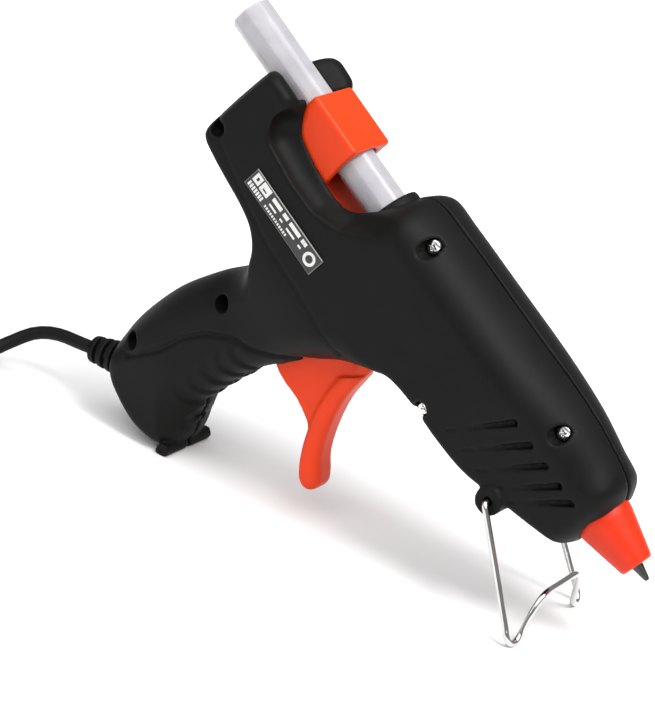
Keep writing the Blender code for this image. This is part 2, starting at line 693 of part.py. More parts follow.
# ================================================================ fasteners
def screw(name, spot, head_y, tip_y):
    """A pan-head screw along Y with a cross recess, its head towards the gun's right."""
    x, z = spot
    height = SCREW_HEAD_HEIGHT
    dome = [(0.0, 0.0), (0.08, 0.7), (0.35, SCREW_HEAD_RADIUS - 0.5), (0.8, SCREW_HEAD_RADIUS),
            (height, SCREW_HEAD_RADIUS), (height, SCREW_SHANK), (tip_y - head_y - 0.8, SCREW_SHANK),
            (tip_y - head_y, 0.3), (tip_y - head_y, 0.0)]
    made = lathe(name, dome, "bright_steel", at=(x, head_y, z), along=(0, 1, 0), sides=14)
    for long_x, long_z in ((1.15, 0.24), (0.24, 1.15)):
        cut(made, box("recess", (x - long_x, head_y - 1.0, z - long_z),
                      (x + long_x, head_y + 0.9, z + long_z)))
    return sharpen(made)


def housing_screws():
    for number, (spot, depth) in enumerate(zip(HOUSING_SCREWS, HEAD_DEPTHS), start=1):
        seat = crown(spot) - depth
        screw(f"housing_screw_{number}", spot[:2], -seat - SCREW_HEAD_HEIGHT - GAP, SCREW_REACH)


# ================================================================ heated barrel
def feed_sleeve():
    """The silicone inlet: a collar at the barrel's mouth and a tube on to the spigot."""
    rear, tail = FEED_REAR, SPIGOT_REAR + SPIGOT_LENGTH - 1.0
    widen = SPIGOT_REAR - GAP
    profile = [(rear, FEED_BORE + 1.0), (rear + 0.4, FEED_COLLAR_RADIUS - 0.3),
               (rear + 0.8, FEED_COLLAR_RADIUS),
               (rear + FEED_COLLAR_LENGTH, FEED_COLLAR_RADIUS),
               (rear + FEED_COLLAR_LENGTH, FEED_RADIUS), (widen - 1.0, FEED_RADIUS),
               (widen + 0.8, SPIGOT_RADIUS + 1.6), (tail, SPIGOT_RADIUS + 1.6),
               (tail, SPIGOT_RADIUS + GAP), (widen, SPIGOT_RADIUS + GAP), (widen, FEED_BORE),
               (rear + 1.2, FEED_BORE)]
    return lathe("feed_sleeve", profile, "black_silicone", sides=24)


def sleeve_clamp():
    inner, outer = SPIGOT_RADIUS + 1.6 + GAP, SPIGOT_RADIUS + 2.7
    rear = SPIGOT_REAR + 3.2
    ring = [(rear, inner), (rear, outer), (rear + 3.2, outer), (rear + 3.2, inner)]
    return lathe("sleeve_clamp", ring, "bright_steel", sides=24)


def melting_chamber():
    """The aluminium melt tube: spigot, tapering bore, and a block under it for the heater."""
    front = SPIGOT_REAR + SPIGOT_LENGTH
    profile = [(SPIGOT_REAR, CHAMBER_BORE), (SPIGOT_REAR, SPIGOT_RADIUS), (front, SPIGOT_RADIUS),
               (front, CHAMBER_RADIUS), (119.8, CHAMBER_RADIUS), (120.6, CHAMBER_RADIUS - 0.8),
               (CHAMBER_FRONT, CHAMBER_RADIUS - 0.8), (CHAMBER_FRONT, NOZZLE_SHANK + GAP),
               (NOZZLE_REAR - GAP, NOZZLE_SHANK + GAP), (NOZZLE_REAR - GAP, NECK_BORE),
               (NOZZLE_REAR - 3.0, NECK_BORE), (CHAMBER_BORE_END, CHAMBER_BORE)]
    made = lathe("melting_chamber", profile, "cast_aluminium", sides=24)
    length, wide, thick = HEATER_SIZE
    block = box("block", (HEATER_REAR - 2.0, -7.0, -14.3), (HEATER_REAR + length + 2.0, 7.0, -6.8))
    pocket = box("pocket", (HEATER_REAR - 3.0, -wide / 2 - GAP, HEATER_TOP - thick - GAP),
                 (HEATER_REAR + length + 3.0, wide / 2 + GAP, HEATER_TOP + GAP))
    unite(made, block)
    cut(made, pocket)
    return sharpen(made)


def heater():
    length, wide, thick = HEATER_SIZE
    return box("ptc_heater", (HEATER_REAR, -wide / 2, HEATER_TOP - thick),
               (HEATER_REAR + length, wide / 2, HEATER_TOP), "ceramic")


def heater_clamp():
    """A steel strap round the chamber that presses the heater's block to the tube."""
    half, low, high = CHAMBER_RADIUS + GAP, -14.3 - GAP, CHAMBER_RADIUS + GAP
    outer = rounded_box_profile(half + 0.7, low - 0.7, high + 0.7, 2.0)
    inner = rounded_box_profile(half, low, high, 1.3)
    made = prism("heater_clamp", outer, 104.0, 109.0, "bright_steel", axis="x")
    return sharpen(cut(made, prism("inside", inner, 103.0, 110.0, axis="x")))


def nozzle():
    """The steel nozzle: a shank in the chamber, a hex collar, a cone and a fine tip."""
    neck = CHAMBER_FRONT + GAP
    profile = [(NOZZLE_REAR, 1.6), (NOZZLE_REAR, NOZZLE_SHANK), (neck, NOZZLE_SHANK),
               (neck, NOZZLE_COLLAR), (neck + 4.5, NOZZLE_COLLAR), (neck + 4.5, 5.2),
               (150.0, 4.8), (SLEEVE_TIP - 1.2, 3.2), (SLEEVE_TIP - 0.2, 1.15), (NOZZLE_TIP - 0.3, 0.7),
               (NOZZLE_TIP, 0.55), (NOZZLE_TIP, 0.3), (160.0, 0.5), (150.0, 1.6)]
    return lathe("nozzle", profile, "dark_steel", sides=20)


def nozzle_sleeve():
    """The silicone cone that guards the hot nozzle."""
    profile = [(SLEEVE_REAR, 5.2 + GAP), (SLEEVE_REAR, SLEEVE_RADIUS), (BARREL_LENGTH, SLEEVE_RADIUS),
               (SLEEVE_TIP - 0.5, SLEEVE_TIP_RADIUS), (SLEEVE_TIP, SLEEVE_TIP_RADIUS - 0.4),
               (SLEEVE_TIP, 1.15 + GAP + 0.2), (SLEEVE_TIP - 1.0, 3.2 + GAP), (150.0, 4.8 + GAP)]
    return lathe("nozzle_sleeve", profile, "orange_silicone", sides=28)


# ================================================================ glue feed
def glue_stick():
    """An eight-sided stick of hot-melt glue."""
    corner = STICK_ACROSS_FLATS / 2 / math.cos(math.pi / 8)
    profile = [(corner * math.cos(math.pi * (2 * k + 1) / 8),
                corner * math.sin(math.pi * (2 * k + 1) / 8)) for k in range(8)]
    return prism("glue_stick", profile, STICK_REAR, STICK_TIP, "glue", axis="x", smooth=30.0)


def carriage():
    """The square sleeve round the stick, with a tongue and two cheeks for the drive pin."""
    front = CARRIAGE_REAR + CARRIAGE_LENGTH
    body = rounded_box_profile(CARRIAGE_HALF_WIDTH, CARRIAGE_FLOOR, CARRIAGE_TOP, 1.5)
    made = prism("carriage", body, CARRIAGE_REAR, front, "orange_plastic", axis="x")
    top = CARRIAGE_FLOOR + TONGUE_THICK
    half, nose = TONGUE_HALF_WIDTH, TONGUE_FRONT
    tongue = [(front - 2.0, half), (nose - 4.0, half), (nose - 1.4, half - 1.3), (nose, 5.0),
              (DRIVE_FRONT, 5.0)]
    outline = tongue + [(x, -y) for x, y in reversed(tongue)]
    count = len(outline)
    points = [(x, y, z) for z in (CARRIAGE_FLOOR, top) for x, y in outline]
    faces = [tuple(range(count)), tuple(range(2 * count - 1, count - 1, -1))]
    faces += [(i, (i + 1) % count, count + (i + 1) % count, count + i) for i in range(count)]
    unite(made, piece("tongue", points, faces, "orange_plastic"))
    for side in (-1, 1):
        inner, outer = side * (DRIVE_HALF_WIDTH - DRIVE_CHEEK), side * DRIVE_HALF_WIDTH
        unite(made, box("cheek", (50.2, min(inner, outer), DRIVE_PIN[1] - 2.7),
                        (DRIVE_FRONT - 0.3, max(inner, outer), top - 0.4)))
    bore = rod("bore", (CARRIAGE_REAR - 2, 0, 0), (front + 2, 0, 0), 6.45, sides=24)
    mouth = rounded_box_profile(CARRIAGE_HALF_WIDTH - 2.2, CARRIAGE_FLOOR + TONGUE_THICK, 5.0, 3.0)
    recess = prism("recess", mouth, front - 6.0, front + 0.5, axis="x")
    pocket = box("pocket", (17.7, -3.3, -8.7), (26.3, 3.3, -4.0))
    hole = cross_rod("hole", DRIVE_PIN, DRIVE_PIN_RADIUS + FIT, -8.0, 8.0, sides=16)
    cut(made, bore, recess, pocket, hole)
    return sharpen(made)


def grip_plate():
    """The toothed steel plate under the stick that bites when the carriage pushes."""
    teeth = [(18.0, -8.4)]
    for k in range(5):
        teeth += [(18.0 + 1.6 * k, -6.6), (19.3 + 1.6 * k, -6.0)]
    teeth += [(26.0, -6.6), (26.0, -8.4)]
    return prism("grip_plate", teeth, -3.0, 3.0, "bright_steel")


def drive_pin():
    return cross_rod("drive_pin", DRIVE_PIN, DRIVE_PIN_RADIUS, -DRIVE_HALF_WIDTH, DRIVE_HALF_WIDTH,
                     "bright_steel", sides=16)


# ================================================================ trigger
def pivot_point(radius, angle):
    """A point at a radius and an angle in degrees from +X about the trigger's pivot."""
    turn = math.radians(angle)
    return (PIVOT[0] + radius * math.cos(turn), PIVOT[1] + radius * math.sin(turn))


def lever_profile():
    """The finger lever from its buried tail to its toe, front edge then back edge."""
    tail_front = [pivot_point(21.9, a) for a in (47.0, 38.0, 29.0, 20.5)]
    front = tail_front + [(81.2, -39.8), (82.2, -46.2), (84.8, -53.4), (87.8, -59.4),
                          (90.7, -63.6), (93.7, -66.3), (95.9, -68.8), (96.3, -71.5)]
    back = [(94.8, -73.7), (91.8, -73.9), (88.6, -71.5), (85.0, -66.9), (81.6, -61.2), (78.9, -55.4),
            (76.8, -48.6), (75.9, -42.2), pivot_point(16.4, 20.5), pivot_point(16.8, 34.0), pivot_point(17.6, 46.0)]
    loop = catmull([(x, z, 0) for x, z in front + back], 3, closed=True)
    return [(p.x, p.y) for p in loop]


def web_profile():
    """The flat plate from the hub to the lever, with its curved lower edge."""
    return [pivot_point(4.4, 120.0), (72.0, -34.8), (78.0, -38.0), (79.0, -47.0), (81.6, -56.5),
            (81.4, -60.4), (79.2, -60.0), (73.5, -58.8), (67.0, -58.9), (62.8, -58.2),
            (59.8, -56.0), pivot_point(4.4, 200.0)]


def arm_profile():
    """The fork arm from the hub up to the drive pin, in the plane of the trigger."""
    reach = Vector((DRIVE_PIN[0] - PIVOT[0], DRIVE_PIN[1] - PIVOT[1]))
    run = reach.normalized()
    over = Vector((run.y, -run.x))
    slot = DRIVE_PIN_RADIUS + GAP
    half = slot + 2.1
    spots = [(0.0, -3.6), (20.0, -half), (reach.length + 1.4, -half + 0.4),
             (reach.length + 1.4, -slot), (reach.length - 3.0, -slot), (reach.length - 3.0, slot),
             (reach.length + 1.4, slot), (reach.length + 1.4, half - 0.4), (20.0, half), (0.0, 3.6)]
    points = [Vector(PIVOT) + run * along + over * across for along, across in spots]
    return [(p.x, p.y) for p in points]


def trigger():
    """Finger lever, web, hub and fork arm in one moulding, turning on the pivot pin."""
    at = (PIVOT[0], 0.0, PIVOT[1])
    made = prism("trigger", lever_profile(), -LEVER_HALF, LEVER_HALF, "orange_plastic", origin=at)
    edge = made.modifiers.new("soft_edges", "BEVEL")
    edge.width = 1.5 * MM
    edge.segments = 2
    edge.limit_method = "ANGLE"
    edge.angle_limit = math.radians(60.0)
    unite(made, prism("web", web_profile(), -WEB_HALF, WEB_HALF))
    unite(made, cross_rod("hub", PIVOT, HUB_RADIUS, -HUB_HALF, HUB_HALF, sides=24))
    unite(made, prism("arm", arm_profile(), -ARM_HALF, ARM_HALF))
    cut(made, cross_rod("hole", PIVOT, PIVOT_PIN_RADIUS + FIT, -HUB_HALF - 1, HUB_HALF + 1))
    return sharpen(made)


def pivot_pin():
    return cross_rod("trigger_pivot_pin", PIVOT, PIVOT_PIN_RADIUS, -PIVOT_PIN_HALF, PIVOT_PIN_HALF,
                     "bright_steel")


def return_spring():
    """A torsion spring round the pivot pin, from a leg in the shell to a leg on the arm."""
    turns, mean = 4.25, PIVOT_PIN_RADIUS + 1.0
    low, high = HUB_HALF + 0.6, HUB_HALF + 3.0
    path = []
    count = round(turns * 12)
    for k in range(count + 1):
        angle = math.radians(180.0) + 2.0 * math.pi * turns * k / count
        path.append((PIVOT[0] + mean * math.cos(angle), low + (high - low) * k / count,
                     PIVOT[1] + mean * math.sin(angle)))
    first, last = Vector(path[0]), Vector(path[-1])
    lead_in = [first + Vector((0.0, 0.0, 9.0)), first + Vector((0.0, 0.0, 4.0))]
    lead_out = [last + Vector((-4.0, 0.0, 0.0)), last + Vector((-8.0, 0.0, 0.0))]
    return wire("return_spring", [tuple(p) for p in lead_in] + path + [tuple(p) for p in lead_out],
                0.3, "bright_steel", resolution=1)


# ================================================================ stand
def stand_point(y, up, forward):
    """A point of the stand: `up` the leg from the foot to the boss, `forward` square to it."""
    leg = Vector((BOSS[0] - STAND_FOOT[0], BOSS[1] - STAND_FOOT[1])).normalized()
    spot = Vector(STAND_FOOT) + leg * up + Vector((leg.y, -leg.x)) * forward
    return (spot.x, y, spot.y)


def stand_wire():
    """One bent wire: ends sprung into the boss, splayed legs, round feet and a raised bridge."""
    length = math.dist(BOSS, STAND_FOOT)
    side = BOSS_HALF + GAP + WIRE_RADIUS
    half = [(BOSS_HALF - STAND_GRIP, length, 0.0), (BOSS_HALF - 2.0, length, 0.0),
            (side - 0.7, length - 0.1, 0.0), (side, length - 1.0, 0.0), (side + 0.2, length - 4.0, 0.0),
            (side + 1.4, length * 0.5, 0.0), (side + 2.8, 5.2, 0.0), (side + 3.2, 2.8, 0.0),
            (side + 2.6, 0.8, 0.0), (side + 1.1, 0.0, 0.1), (side - 0.7, 0.2, 0.4),
            (side - 2.1, 1.6, 1.3), (side - 3.1, 4.0, 2.9), (side - 4.3, 6.8, 4.9),
            (side - 6.2, 9.4, 6.8), (side - 8.6, 10.5, 7.6), (side - 10.8, 10.7, 7.7)]
    right = [stand_point(-y, up, forward) for y, up, forward in half]
    left = [stand_point(y, up, forward) for y, up, forward in reversed(half)]
    path = even(catmull(right + [stand_point(0.0, 10.7, 7.7)] + left, 6), 2.2)
    return wire("stand_wire", path, WIRE_RADIUS, "bright_steel", resolution=2,
                origin=(BOSS[0], 0.0, BOSS[1]))



# ================================================================ label
def rating_label():
    """A thin plate that follows the right side's surface under the rear slot."""
    loop = side_profile()
    xs, zs = np.linspace(*LABEL_X, 11), np.linspace(*LABEL_Z, 4)
    spots = np.array([(x, z) for x in xs for z in zs])
    heights = side_height(spots, loop, 0.0)
    points = [(x, -h - lift, z) for lift in (GAP, GAP + LABEL_THICK)
              for (x, z), h in zip(spots, heights)]
    rows, cols = len(xs), len(zs)
    def at(layer, i, j):
        return layer * rows * cols + i * cols + j
    faces = [(at(k, i, j), at(k, i + 1, j), at(k, i + 1, j + 1), at(k, i, j + 1))
             for k in (0, 1) for i in range(rows - 1) for j in range(cols - 1)]
    edge = [(i, 0) for i in range(rows)] + [(rows - 1, j) for j in range(1, cols)]
    edge += [(i, cols - 1) for i in range(rows - 2, -1, -1)] + [(0, j) for j in range(cols - 2, 0, -1)]
    faces += [(at(0, *a), at(0, *b), at(1, *b), at(1, *a)) for a, b in zip(edge, edge[1:] + edge[:1])]
    return piece("rating_label", points, faces, "label_print")


# ================================================================ wiring in the grip
def wiring():
    """Two leads from the heater past the trigger to their crimps, and the lead's two cores."""
    for side, tag in ((1, "live"), (-1, "neutral")):
        route = [(87.6, 2.4, -10.9), (84.0, 3.2, -11.1), (79.0, 5.6, -12.6), (74.0, 8.6, -16.0),
                 (68.0, 9.6, -19.5), (60.0, 9.8, -25.5), (52.5, 9.6, -33.0), (48.4, 9.2, -43.0),
                 (47.8, 8.4, -54.0), (48.4, 6.6, -64.0), (49.2, 4.9, -71.0), (CRIMP_X, 4.2, CRIMP_TOP)]
        path = [(p.x, side * p.y, p.z) for p in catmull(route, 3)]
        wire(f"heater_lead_{tag}", path, 0.9, "wire_insulation", resolution=1)
        low = CRIMP_TOP - GAP - CRIMP_LENGTH
        rod(f"crimp_{tag}", (CRIMP_X, side * 4.2, CRIMP_TOP - GAP), (CRIMP_X, side * 4.2, low), 1.7,
            "brass", sides=12)
        near, end = along_lead(-CORD_INSIDE - 1.6), along_lead(-CORD_INSIDE - GAP)
        core = [(CRIMP_X, side * 4.2, low - GAP), (CRIMP_X, side * 3.9, low - 1.6),
                (near[0], side * 1.4, near[2]), (end[0], side * 0.95, end[2])]
        wire(f"cord_core_{tag}", [tuple(p) for p in catmull(core, 3)], 0.8, "wire_insulation",
             resolution=1)


def strain_relief():
    """The ribbed boot, with a neck through the heel and a flange inside it."""
    profile = [(-RELIEF_INSIDE, LEAD_RADIUS + GAP), (-RELIEF_INSIDE, RELIEF_FLANGE),
               (-RELIEF_INSIDE + 1.9, RELIEF_FLANGE), (-RELIEF_INSIDE + 1.9, RELIEF_NECK), (-0.3, RELIEF_NECK)]
    ribs = 3
    pitch = (RELIEF_OUTSIDE - 0.6) / ribs
    for k in range(ribs):
        start = -0.3 + pitch * k
        radius = 5.0 - 0.62 * k
        profile += [(start, radius - 0.4), (start + 0.5, radius), (start + 0.6 * pitch, radius - 0.1),
                    (start + 0.72 * pitch, radius - 1.2), (start + 0.98 * pitch, radius - 1.3)]
    profile += [(RELIEF_OUTSIDE, 2.9), (RELIEF_OUTSIDE, LEAD_RADIUS + GAP)]
    dx, dz = LEAD_DIRECTION
    return lathe("strain_relief", profile, "black_silicone", at=along_lead(0.0), along=(dx, 0, dz),
                 sides=20)


def cord_clamp():
    """A bar across the lead on two posts, held by two screws."""
    inner, outer = -LEAD_RADIUS - GAP, -LEAD_RADIUS - GAP - 2.4
    ends = [along_lead(-CLAMP_AT + along, across) for along, across in
            ((-2.4, -7.2), (2.4, -7.2), (2.4, 7.2), (-2.4, 7.2))]
    made = prism("cord_clamp", [(x, z) for x, _, z in ends], outer, inner)
    for number, across in enumerate((-CLAMP_SPREAD, CLAMP_SPREAD), start=1):
        x, _, z = along_lead(-CLAMP_AT, across)
        cut(made, cross_rod("hole", (x, z), SCREW_SHANK + FIT, outer - 1, inner + 1, sides=12))
        screw(f"clamp_screw_{number}", (x, z), outer - SCREW_HEAD_HEIGHT - GAP, 4.0)
    return sharpen(made)


# ================================================================ mains lead on the floor
def lead_route():
    """The lead's smooth path, in world millimetres: through the relief, then down to the floor."""
    stance = bpy.data.objects["stance"].matrix_world
    inside = [stance @ (Vector(along_lead(d)) * MM) / MM for d in
              (-CORD_INSIDE, -10.0, 0.0, RELIEF_OUTSIDE)]
    route = inside + [Vector(p) for p in LEAD_ROUTE]
    return even(catmull(route, 10), 2.4 * LEAD_RADIUS)


def mains_lead():
    wire("power_cord", lead_route(), LEAD_RADIUS, "black_silicone", resolution=2, parent=None)
    high, half, soft = COIL_HEIGHT, COIL_ROWS * LEAD_RADIUS + 0.2, 1.4
    ring = [(0.0, COIL_RADIUS - half + soft), (0.0, COIL_RADIUS + half - soft),
            (soft, COIL_RADIUS + half), (high - soft, COIL_RADIUS + half),
            (high, COIL_RADIUS + half - soft), (high, COIL_RADIUS - half + soft),
            (high - soft, COIL_RADIUS - half), (soft, COIL_RADIUS - half)]
    coil = lathe("power_cord_coil", ring, "black_silicone", at=(*COIL_CENTRE, 0.05),
                 along=(0, 0, 1), sides=36, parent=None)
    rise = PLUG_AT[2] + PLUG_BODY[2] / 2 - CLIMB[-1][2]
    climb = [Vector((COIL_CENTRE[0] + x, COIL_CENTRE[1] + y, z + rise)) for x, y, z in CLIMB]
    unite(coil, solid_wire("climb", even(catmull(climb, 6), 2.4 * LEAD_RADIUS), LEAD_RADIUS))


def plug_frame():
    turn = math.radians(PLUG_TURN)
    return Matrix.Translation(Vector(PLUG_AT)) @ Matrix.Rotation(turn, 4, "Z")


def plug():
    """A flat two-pin plug: its tail meets the coil, its pins point away from it."""
    frame = plug_frame()
    length, wide, high = PLUG_BODY
    half = [(0.0, 3.0), (9.0, 4.0), (14.0, 5.5), (20.0, 11.0), (24.0, wide / 2), (length, wide / 2)]
    outline = half + [(x, -y) for x, y in reversed(half)]
    count = len(outline)
    points = [frame @ Vector((x, y, z)) for z in (0.1, high) for x, y in outline]
    faces = [tuple(range(count)), tuple(range(2 * count - 1, count - 1, -1))]
    faces += [(i, (i + 1) % count, count + (i + 1) % count, count + i) for i in range(count)]
    made = piece("plug_body", points, faces, "black_silicone", parent=None)
    cut(made, *[plug_rod("socket", frame, side, length - 5.0, length + 1.0, PLUG_PIN_RADIUS + GAP)
                for side in (-1, 1)])
    sharpen(made)
    for side, tag in ((-1, "right"), (1, "left")):
        plug_rod(f"plug_pin_{tag}", frame, side, length - 5.0 + GAP, length + PLUG_PIN_LENGTH,
                 PLUG_PIN_RADIUS, "brass")


def plug_rod(name, frame, side, start, end, radius, slot="black_silicone"):
    height = PLUG_BODY[2] / 2
    ends = [frame @ Vector((x, side * PLUG_PIN_SPREAD, height)) for x in (start, end)]
    return rod(name, ends[0], ends[1], radius, slot, sides=16, parent=None)


# ================================================================ placing the gun
def stance_pitch():
    """The nose-down pitch at which foot bar and stand feet touch one floor."""
    dx, dz = STAND_FOOT[0] - FOOT_BAR[0], STAND_FOOT[1] - FOOT_BAR[1]
    return math.atan2(dz, dx) + math.asin(
        (FOOT_BAR_RADIUS - FOOT_FLAT - WIRE_RADIUS) / math.hypot(dx, dz))


def settle(stance):
    """Move the gun so that its box stands on Z = 0 with its middle over the origin."""
    bpy.context.view_layer.update()
    graph = bpy.context.evaluated_depsgraph_get()
    corners = []
    for made in bpy.data.objects:
        if made.type == "EMPTY":
            continue
        mesh = made.evaluated_get(graph).to_mesh()
        spots = np.empty(len(mesh.vertices) * 3)
        mesh.vertices.foreach_get("co", spots)
        world = np.array(made.matrix_world)
        corners.append(spots.reshape(-1, 3) @ world[:3, :3].T + world[:3, 3])
    spots = np.concatenate(corners)
    low, high = spots.min(0), spots.max(0)
    stance.location = -Vector(((low[0] + high[0]) / 2, (low[1] + high[1]) / 2, low[2]))
    bpy.context.view_layer.update()


def build():
    clear_scene()
    stance = bpy.data.objects.new("stance", None)
    bpy.context.scene.collection.objects.link(stance)
    stance.rotation_euler = (0.0, stance_pitch(), 0.0)
    shell("right_shell", -1)
    shell("left_shell", 1)
    rating_label()
    housing_screws()
    feed_sleeve()
    sleeve_clamp()
    melting_chamber()
    heater()
    heater_clamp()
    nozzle()
    nozzle_sleeve()
    glue_stick()
    carriage()
    grip_plate()
    drive_pin()
    trigger()
    pivot_pin()
    return_spring()
    stand_wire()
    wiring()
    strain_relief()
    cord_clamp()
    settle(stance)
    mains_lead()
    plug()


build()
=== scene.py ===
"""Looks of the corded hot-melt glue gun: camera, lead, moulded shells, moving pieces and finishes.

Shapes are worked out in the gun's own frame, in millimetres: X forward along the glue stick's
axis from the housing's rear face, Y to the gun's left, Z up. `placed` turns such points into
the frame in which the gun stands on its foot bar and wire stand.
"""
import json
import math
from functools import partialmethod, reduce

import bpy
import numpy as np
from mathutils import Matrix, Vector


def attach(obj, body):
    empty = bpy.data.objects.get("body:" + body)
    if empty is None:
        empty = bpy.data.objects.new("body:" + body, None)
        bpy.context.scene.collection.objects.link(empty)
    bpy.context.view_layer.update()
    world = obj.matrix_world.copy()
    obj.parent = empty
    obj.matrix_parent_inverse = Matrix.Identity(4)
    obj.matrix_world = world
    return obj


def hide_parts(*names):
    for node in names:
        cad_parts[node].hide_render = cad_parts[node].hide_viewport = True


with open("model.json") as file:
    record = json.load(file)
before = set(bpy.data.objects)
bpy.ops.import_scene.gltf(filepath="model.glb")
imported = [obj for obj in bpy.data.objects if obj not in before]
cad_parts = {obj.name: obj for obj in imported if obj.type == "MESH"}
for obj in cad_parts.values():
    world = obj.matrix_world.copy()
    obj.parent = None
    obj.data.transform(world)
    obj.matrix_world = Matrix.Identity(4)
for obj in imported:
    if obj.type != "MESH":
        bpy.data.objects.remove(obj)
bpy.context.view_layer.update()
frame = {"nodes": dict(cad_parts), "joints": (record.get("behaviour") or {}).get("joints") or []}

# ---- the gun's own frame
JOINTS = {joint["name"]: joint for joint in frame["joints"]}
FORWARD = np.array(JOINTS["carriage_feed"]["axis"], float)
PITCH = math.atan2(-FORWARD[2], FORWARD[0])
PIVOT = np.array([60.0, 0.0, -42.0])
BOSS = np.array([129.3, 0.0, -17.2])
TURN = np.array([[math.cos(PITCH), 0.0, math.sin(PITCH)], [0.0, 1.0, 0.0],
                 [-math.sin(PITCH), 0.0, math.cos(PITCH)]])
SHIFT = np.array(JOINTS["trigger_squeeze"]["pos_m"]) * 1000.0 - TURN @ PIVOT


def placed(points):
    """Gun-frame millimetres turned nose-down and moved to their place, in metres."""
    return (np.asarray(points, float) @ TURN.T + SHIFT) / 1000.0


def added(name, data):
    """A new object in the scene."""
    made = bpy.data.objects.new(name, data)
    bpy.context.scene.collection.objects.link(made)
    return made


# ---- camera, floor and light
EYE, EYE_UP, EYE_BACK = (174.2, -610.2, 378.3), (-0.816, 0.229, 0.531), (0.139, -0.814, 0.564)
FOCAL_LENGTH, SENSOR_WIDTH = 135.0, 36.0
LIT_SPOT, FLOOR_REACH = (0.0, 0.0, 0.06), 6.0


def camera():
    """A long lens at EYE, upright along EYE_UP, that looks away from EYE_BACK."""
    lens = bpy.data.cameras.new("camera")
    lens.lens, lens.sensor_width = FOCAL_LENGTH, SENSOR_WIDTH
    made = added("camera", lens)
    up, back = TURN @ EYE_UP, TURN @ EYE_BACK
    back /= np.linalg.norm(back)
    right = np.cross(up, back)
    right /= np.linalg.norm(right)
    up = np.cross(back, right)
    turn = Matrix([[right[k], up[k], back[k]] for k in range(3)])
    made.matrix_world = Matrix.Translation(Vector(placed(EYE))) @ turn.to_4x4()
    bpy.context.scene.camera = made


def area_light(name, place, size, power):
    """A round light aimed at the gun."""
    light = bpy.data.lights.new(name, "AREA")
    light.shape, light.size, light.energy = "DISK", size, power
    made = added(name, light)
    made.location = place
    made.rotation_euler = (Vector(place) - Vector(LIT_SPOT)).to_track_quat("Z", "Y").to_euler()


def studio():
    """White all round, a broad sun overhead, two round lights and a pale floor."""
    world = bpy.data.worlds.new("studio")
    world.use_nodes = True
    sky = world.node_tree.nodes["Background"].inputs
    sky["Color"].default_value = (1.0, 1.0, 1.0, 1.0)
    sky["Strength"].default_value = 0.3
    bpy.context.scene.world = world
    bpy.context.scene.view_settings.view_transform = "Standard"
    area_light("key", (0.55, -0.15, 1.0), 0.45, 9.0)
    area_light("fill", (-0.7, -0.9, 0.5), 0.8, 1.5)
    sun = bpy.data.lights.new("overhead", "SUN")
    sun.energy, sun.angle = 3.1, math.radians(100.0)
    added("overhead", sun).rotation_euler = (math.radians(14.0), math.radians(10.0), 0.0)
    sheet = bpy.data.meshes.new("floor")
    corners = [(x * FLOOR_REACH, y * FLOOR_REACH, 0.0) for x, y in (
        (-1, -1), (1, -1), (1, 1), (-1, 1))]
    sheet.from_pydata(corners, [], [(0, 1, 2, 3)])
    sheet.materials.append(Paint("pale_floor", (0.93, 0.93, 0.93), 0.6).material)
    added("floor", sheet)


# ---- shader sums
class Signal:
    """A shader socket that takes part in sums: each operator adds its Math node."""

    def __init__(self, paint, socket):
        self.paint, self.socket = paint, socket

    def maths(self, operation, *values):
        return self.paint.node("ShaderNodeMath", {"operation": operation}, self, *values)

    __add__ = partialmethod(maths, "ADD")
    __sub__ = partialmethod(maths, "SUBTRACT")
    __mul__ = partialmethod(maths, "MULTIPLY")
    __abs__ = partialmethod(maths, "ABSOLUTE")
    over = partialmethod(maths, "GREATER_THAN")
    under = partialmethod(maths, "LESS_THAN")
    top = partialmethod(maths, "MAXIMUM")

    def ramp(self, low, high):
        """0 at and below low, 1 at and above high, smooth between."""
        return self.paint.node("ShaderNodeMapRange", {"interpolation_type": "SMOOTHSTEP"},
                               self, low, high)

class Paint:
    """One procedural material round a Principled shader."""

    def __init__(self, name, colour, roughness, metallic=0.0, **sockets):
        self.material = bpy.data.materials.new(name)
        self.material.use_nodes = True
        self.tree = self.material.node_tree
        self.shader = self.tree.nodes["Principled BSDF"]
        self.set(Base_Color=(*colour, 1.0), Roughness=roughness, Metallic=metallic, **sockets)

    def set(self, **sockets):
        for name, value in sockets.items():
            self.feed(self.shader.inputs[name.replace("_", " ")], value)
        return self

    def feed(self, socket, value):
        if isinstance(value, Signal):
            self.tree.links.new(value.socket, socket)
        else:
            socket.default_value = value

    def node(self, kind, settings=None, *values, out=0, **sockets):
        """A node of a type: its settings first, then its sockets in order or by name."""
        made = self.tree.nodes.new(kind)
        for name, value in (settings or {}).items():
            setattr(made, name, value)
        for socket, value in zip(made.inputs, values):
            self.feed(socket, value)
        for name, value in sockets.items():
            self.feed(made.inputs[name.replace("_", " ")], value)
        return Signal(self, made.outputs[out])

    def noise(self, scale, detail=2.0, roughness=0.5):
        place = self.node("ShaderNodeTexCoord", out="Object")
        return self.node("ShaderNodeTexNoise", None, Vector=place, Scale=scale, Detail=detail,
                         Roughness=roughness)

    def mix(self, share, first, second):
        """From the first colour to the second; each is a signal or plain."""
        made = self.node("ShaderNodeMix", {"data_type": "RGBA"}, out=2, Factor=share)
        for socket, colour in zip(made.socket.node.inputs[6:8], (first, second)):
            self.feed(socket, colour if isinstance(colour, Signal) else (*colour, 1.0))
        return made

    def bump(self, height, distance, strength):
        return self.node("ShaderNodeBump", None, Height=height, Distance=distance,
                         Strength=strength)


# ---- mesh building
def mesh_piece(name, points, *rest, **looks):
    """A finished piece from gun-frame points."""
    return world_piece(name, placed(points), *rest, **looks)


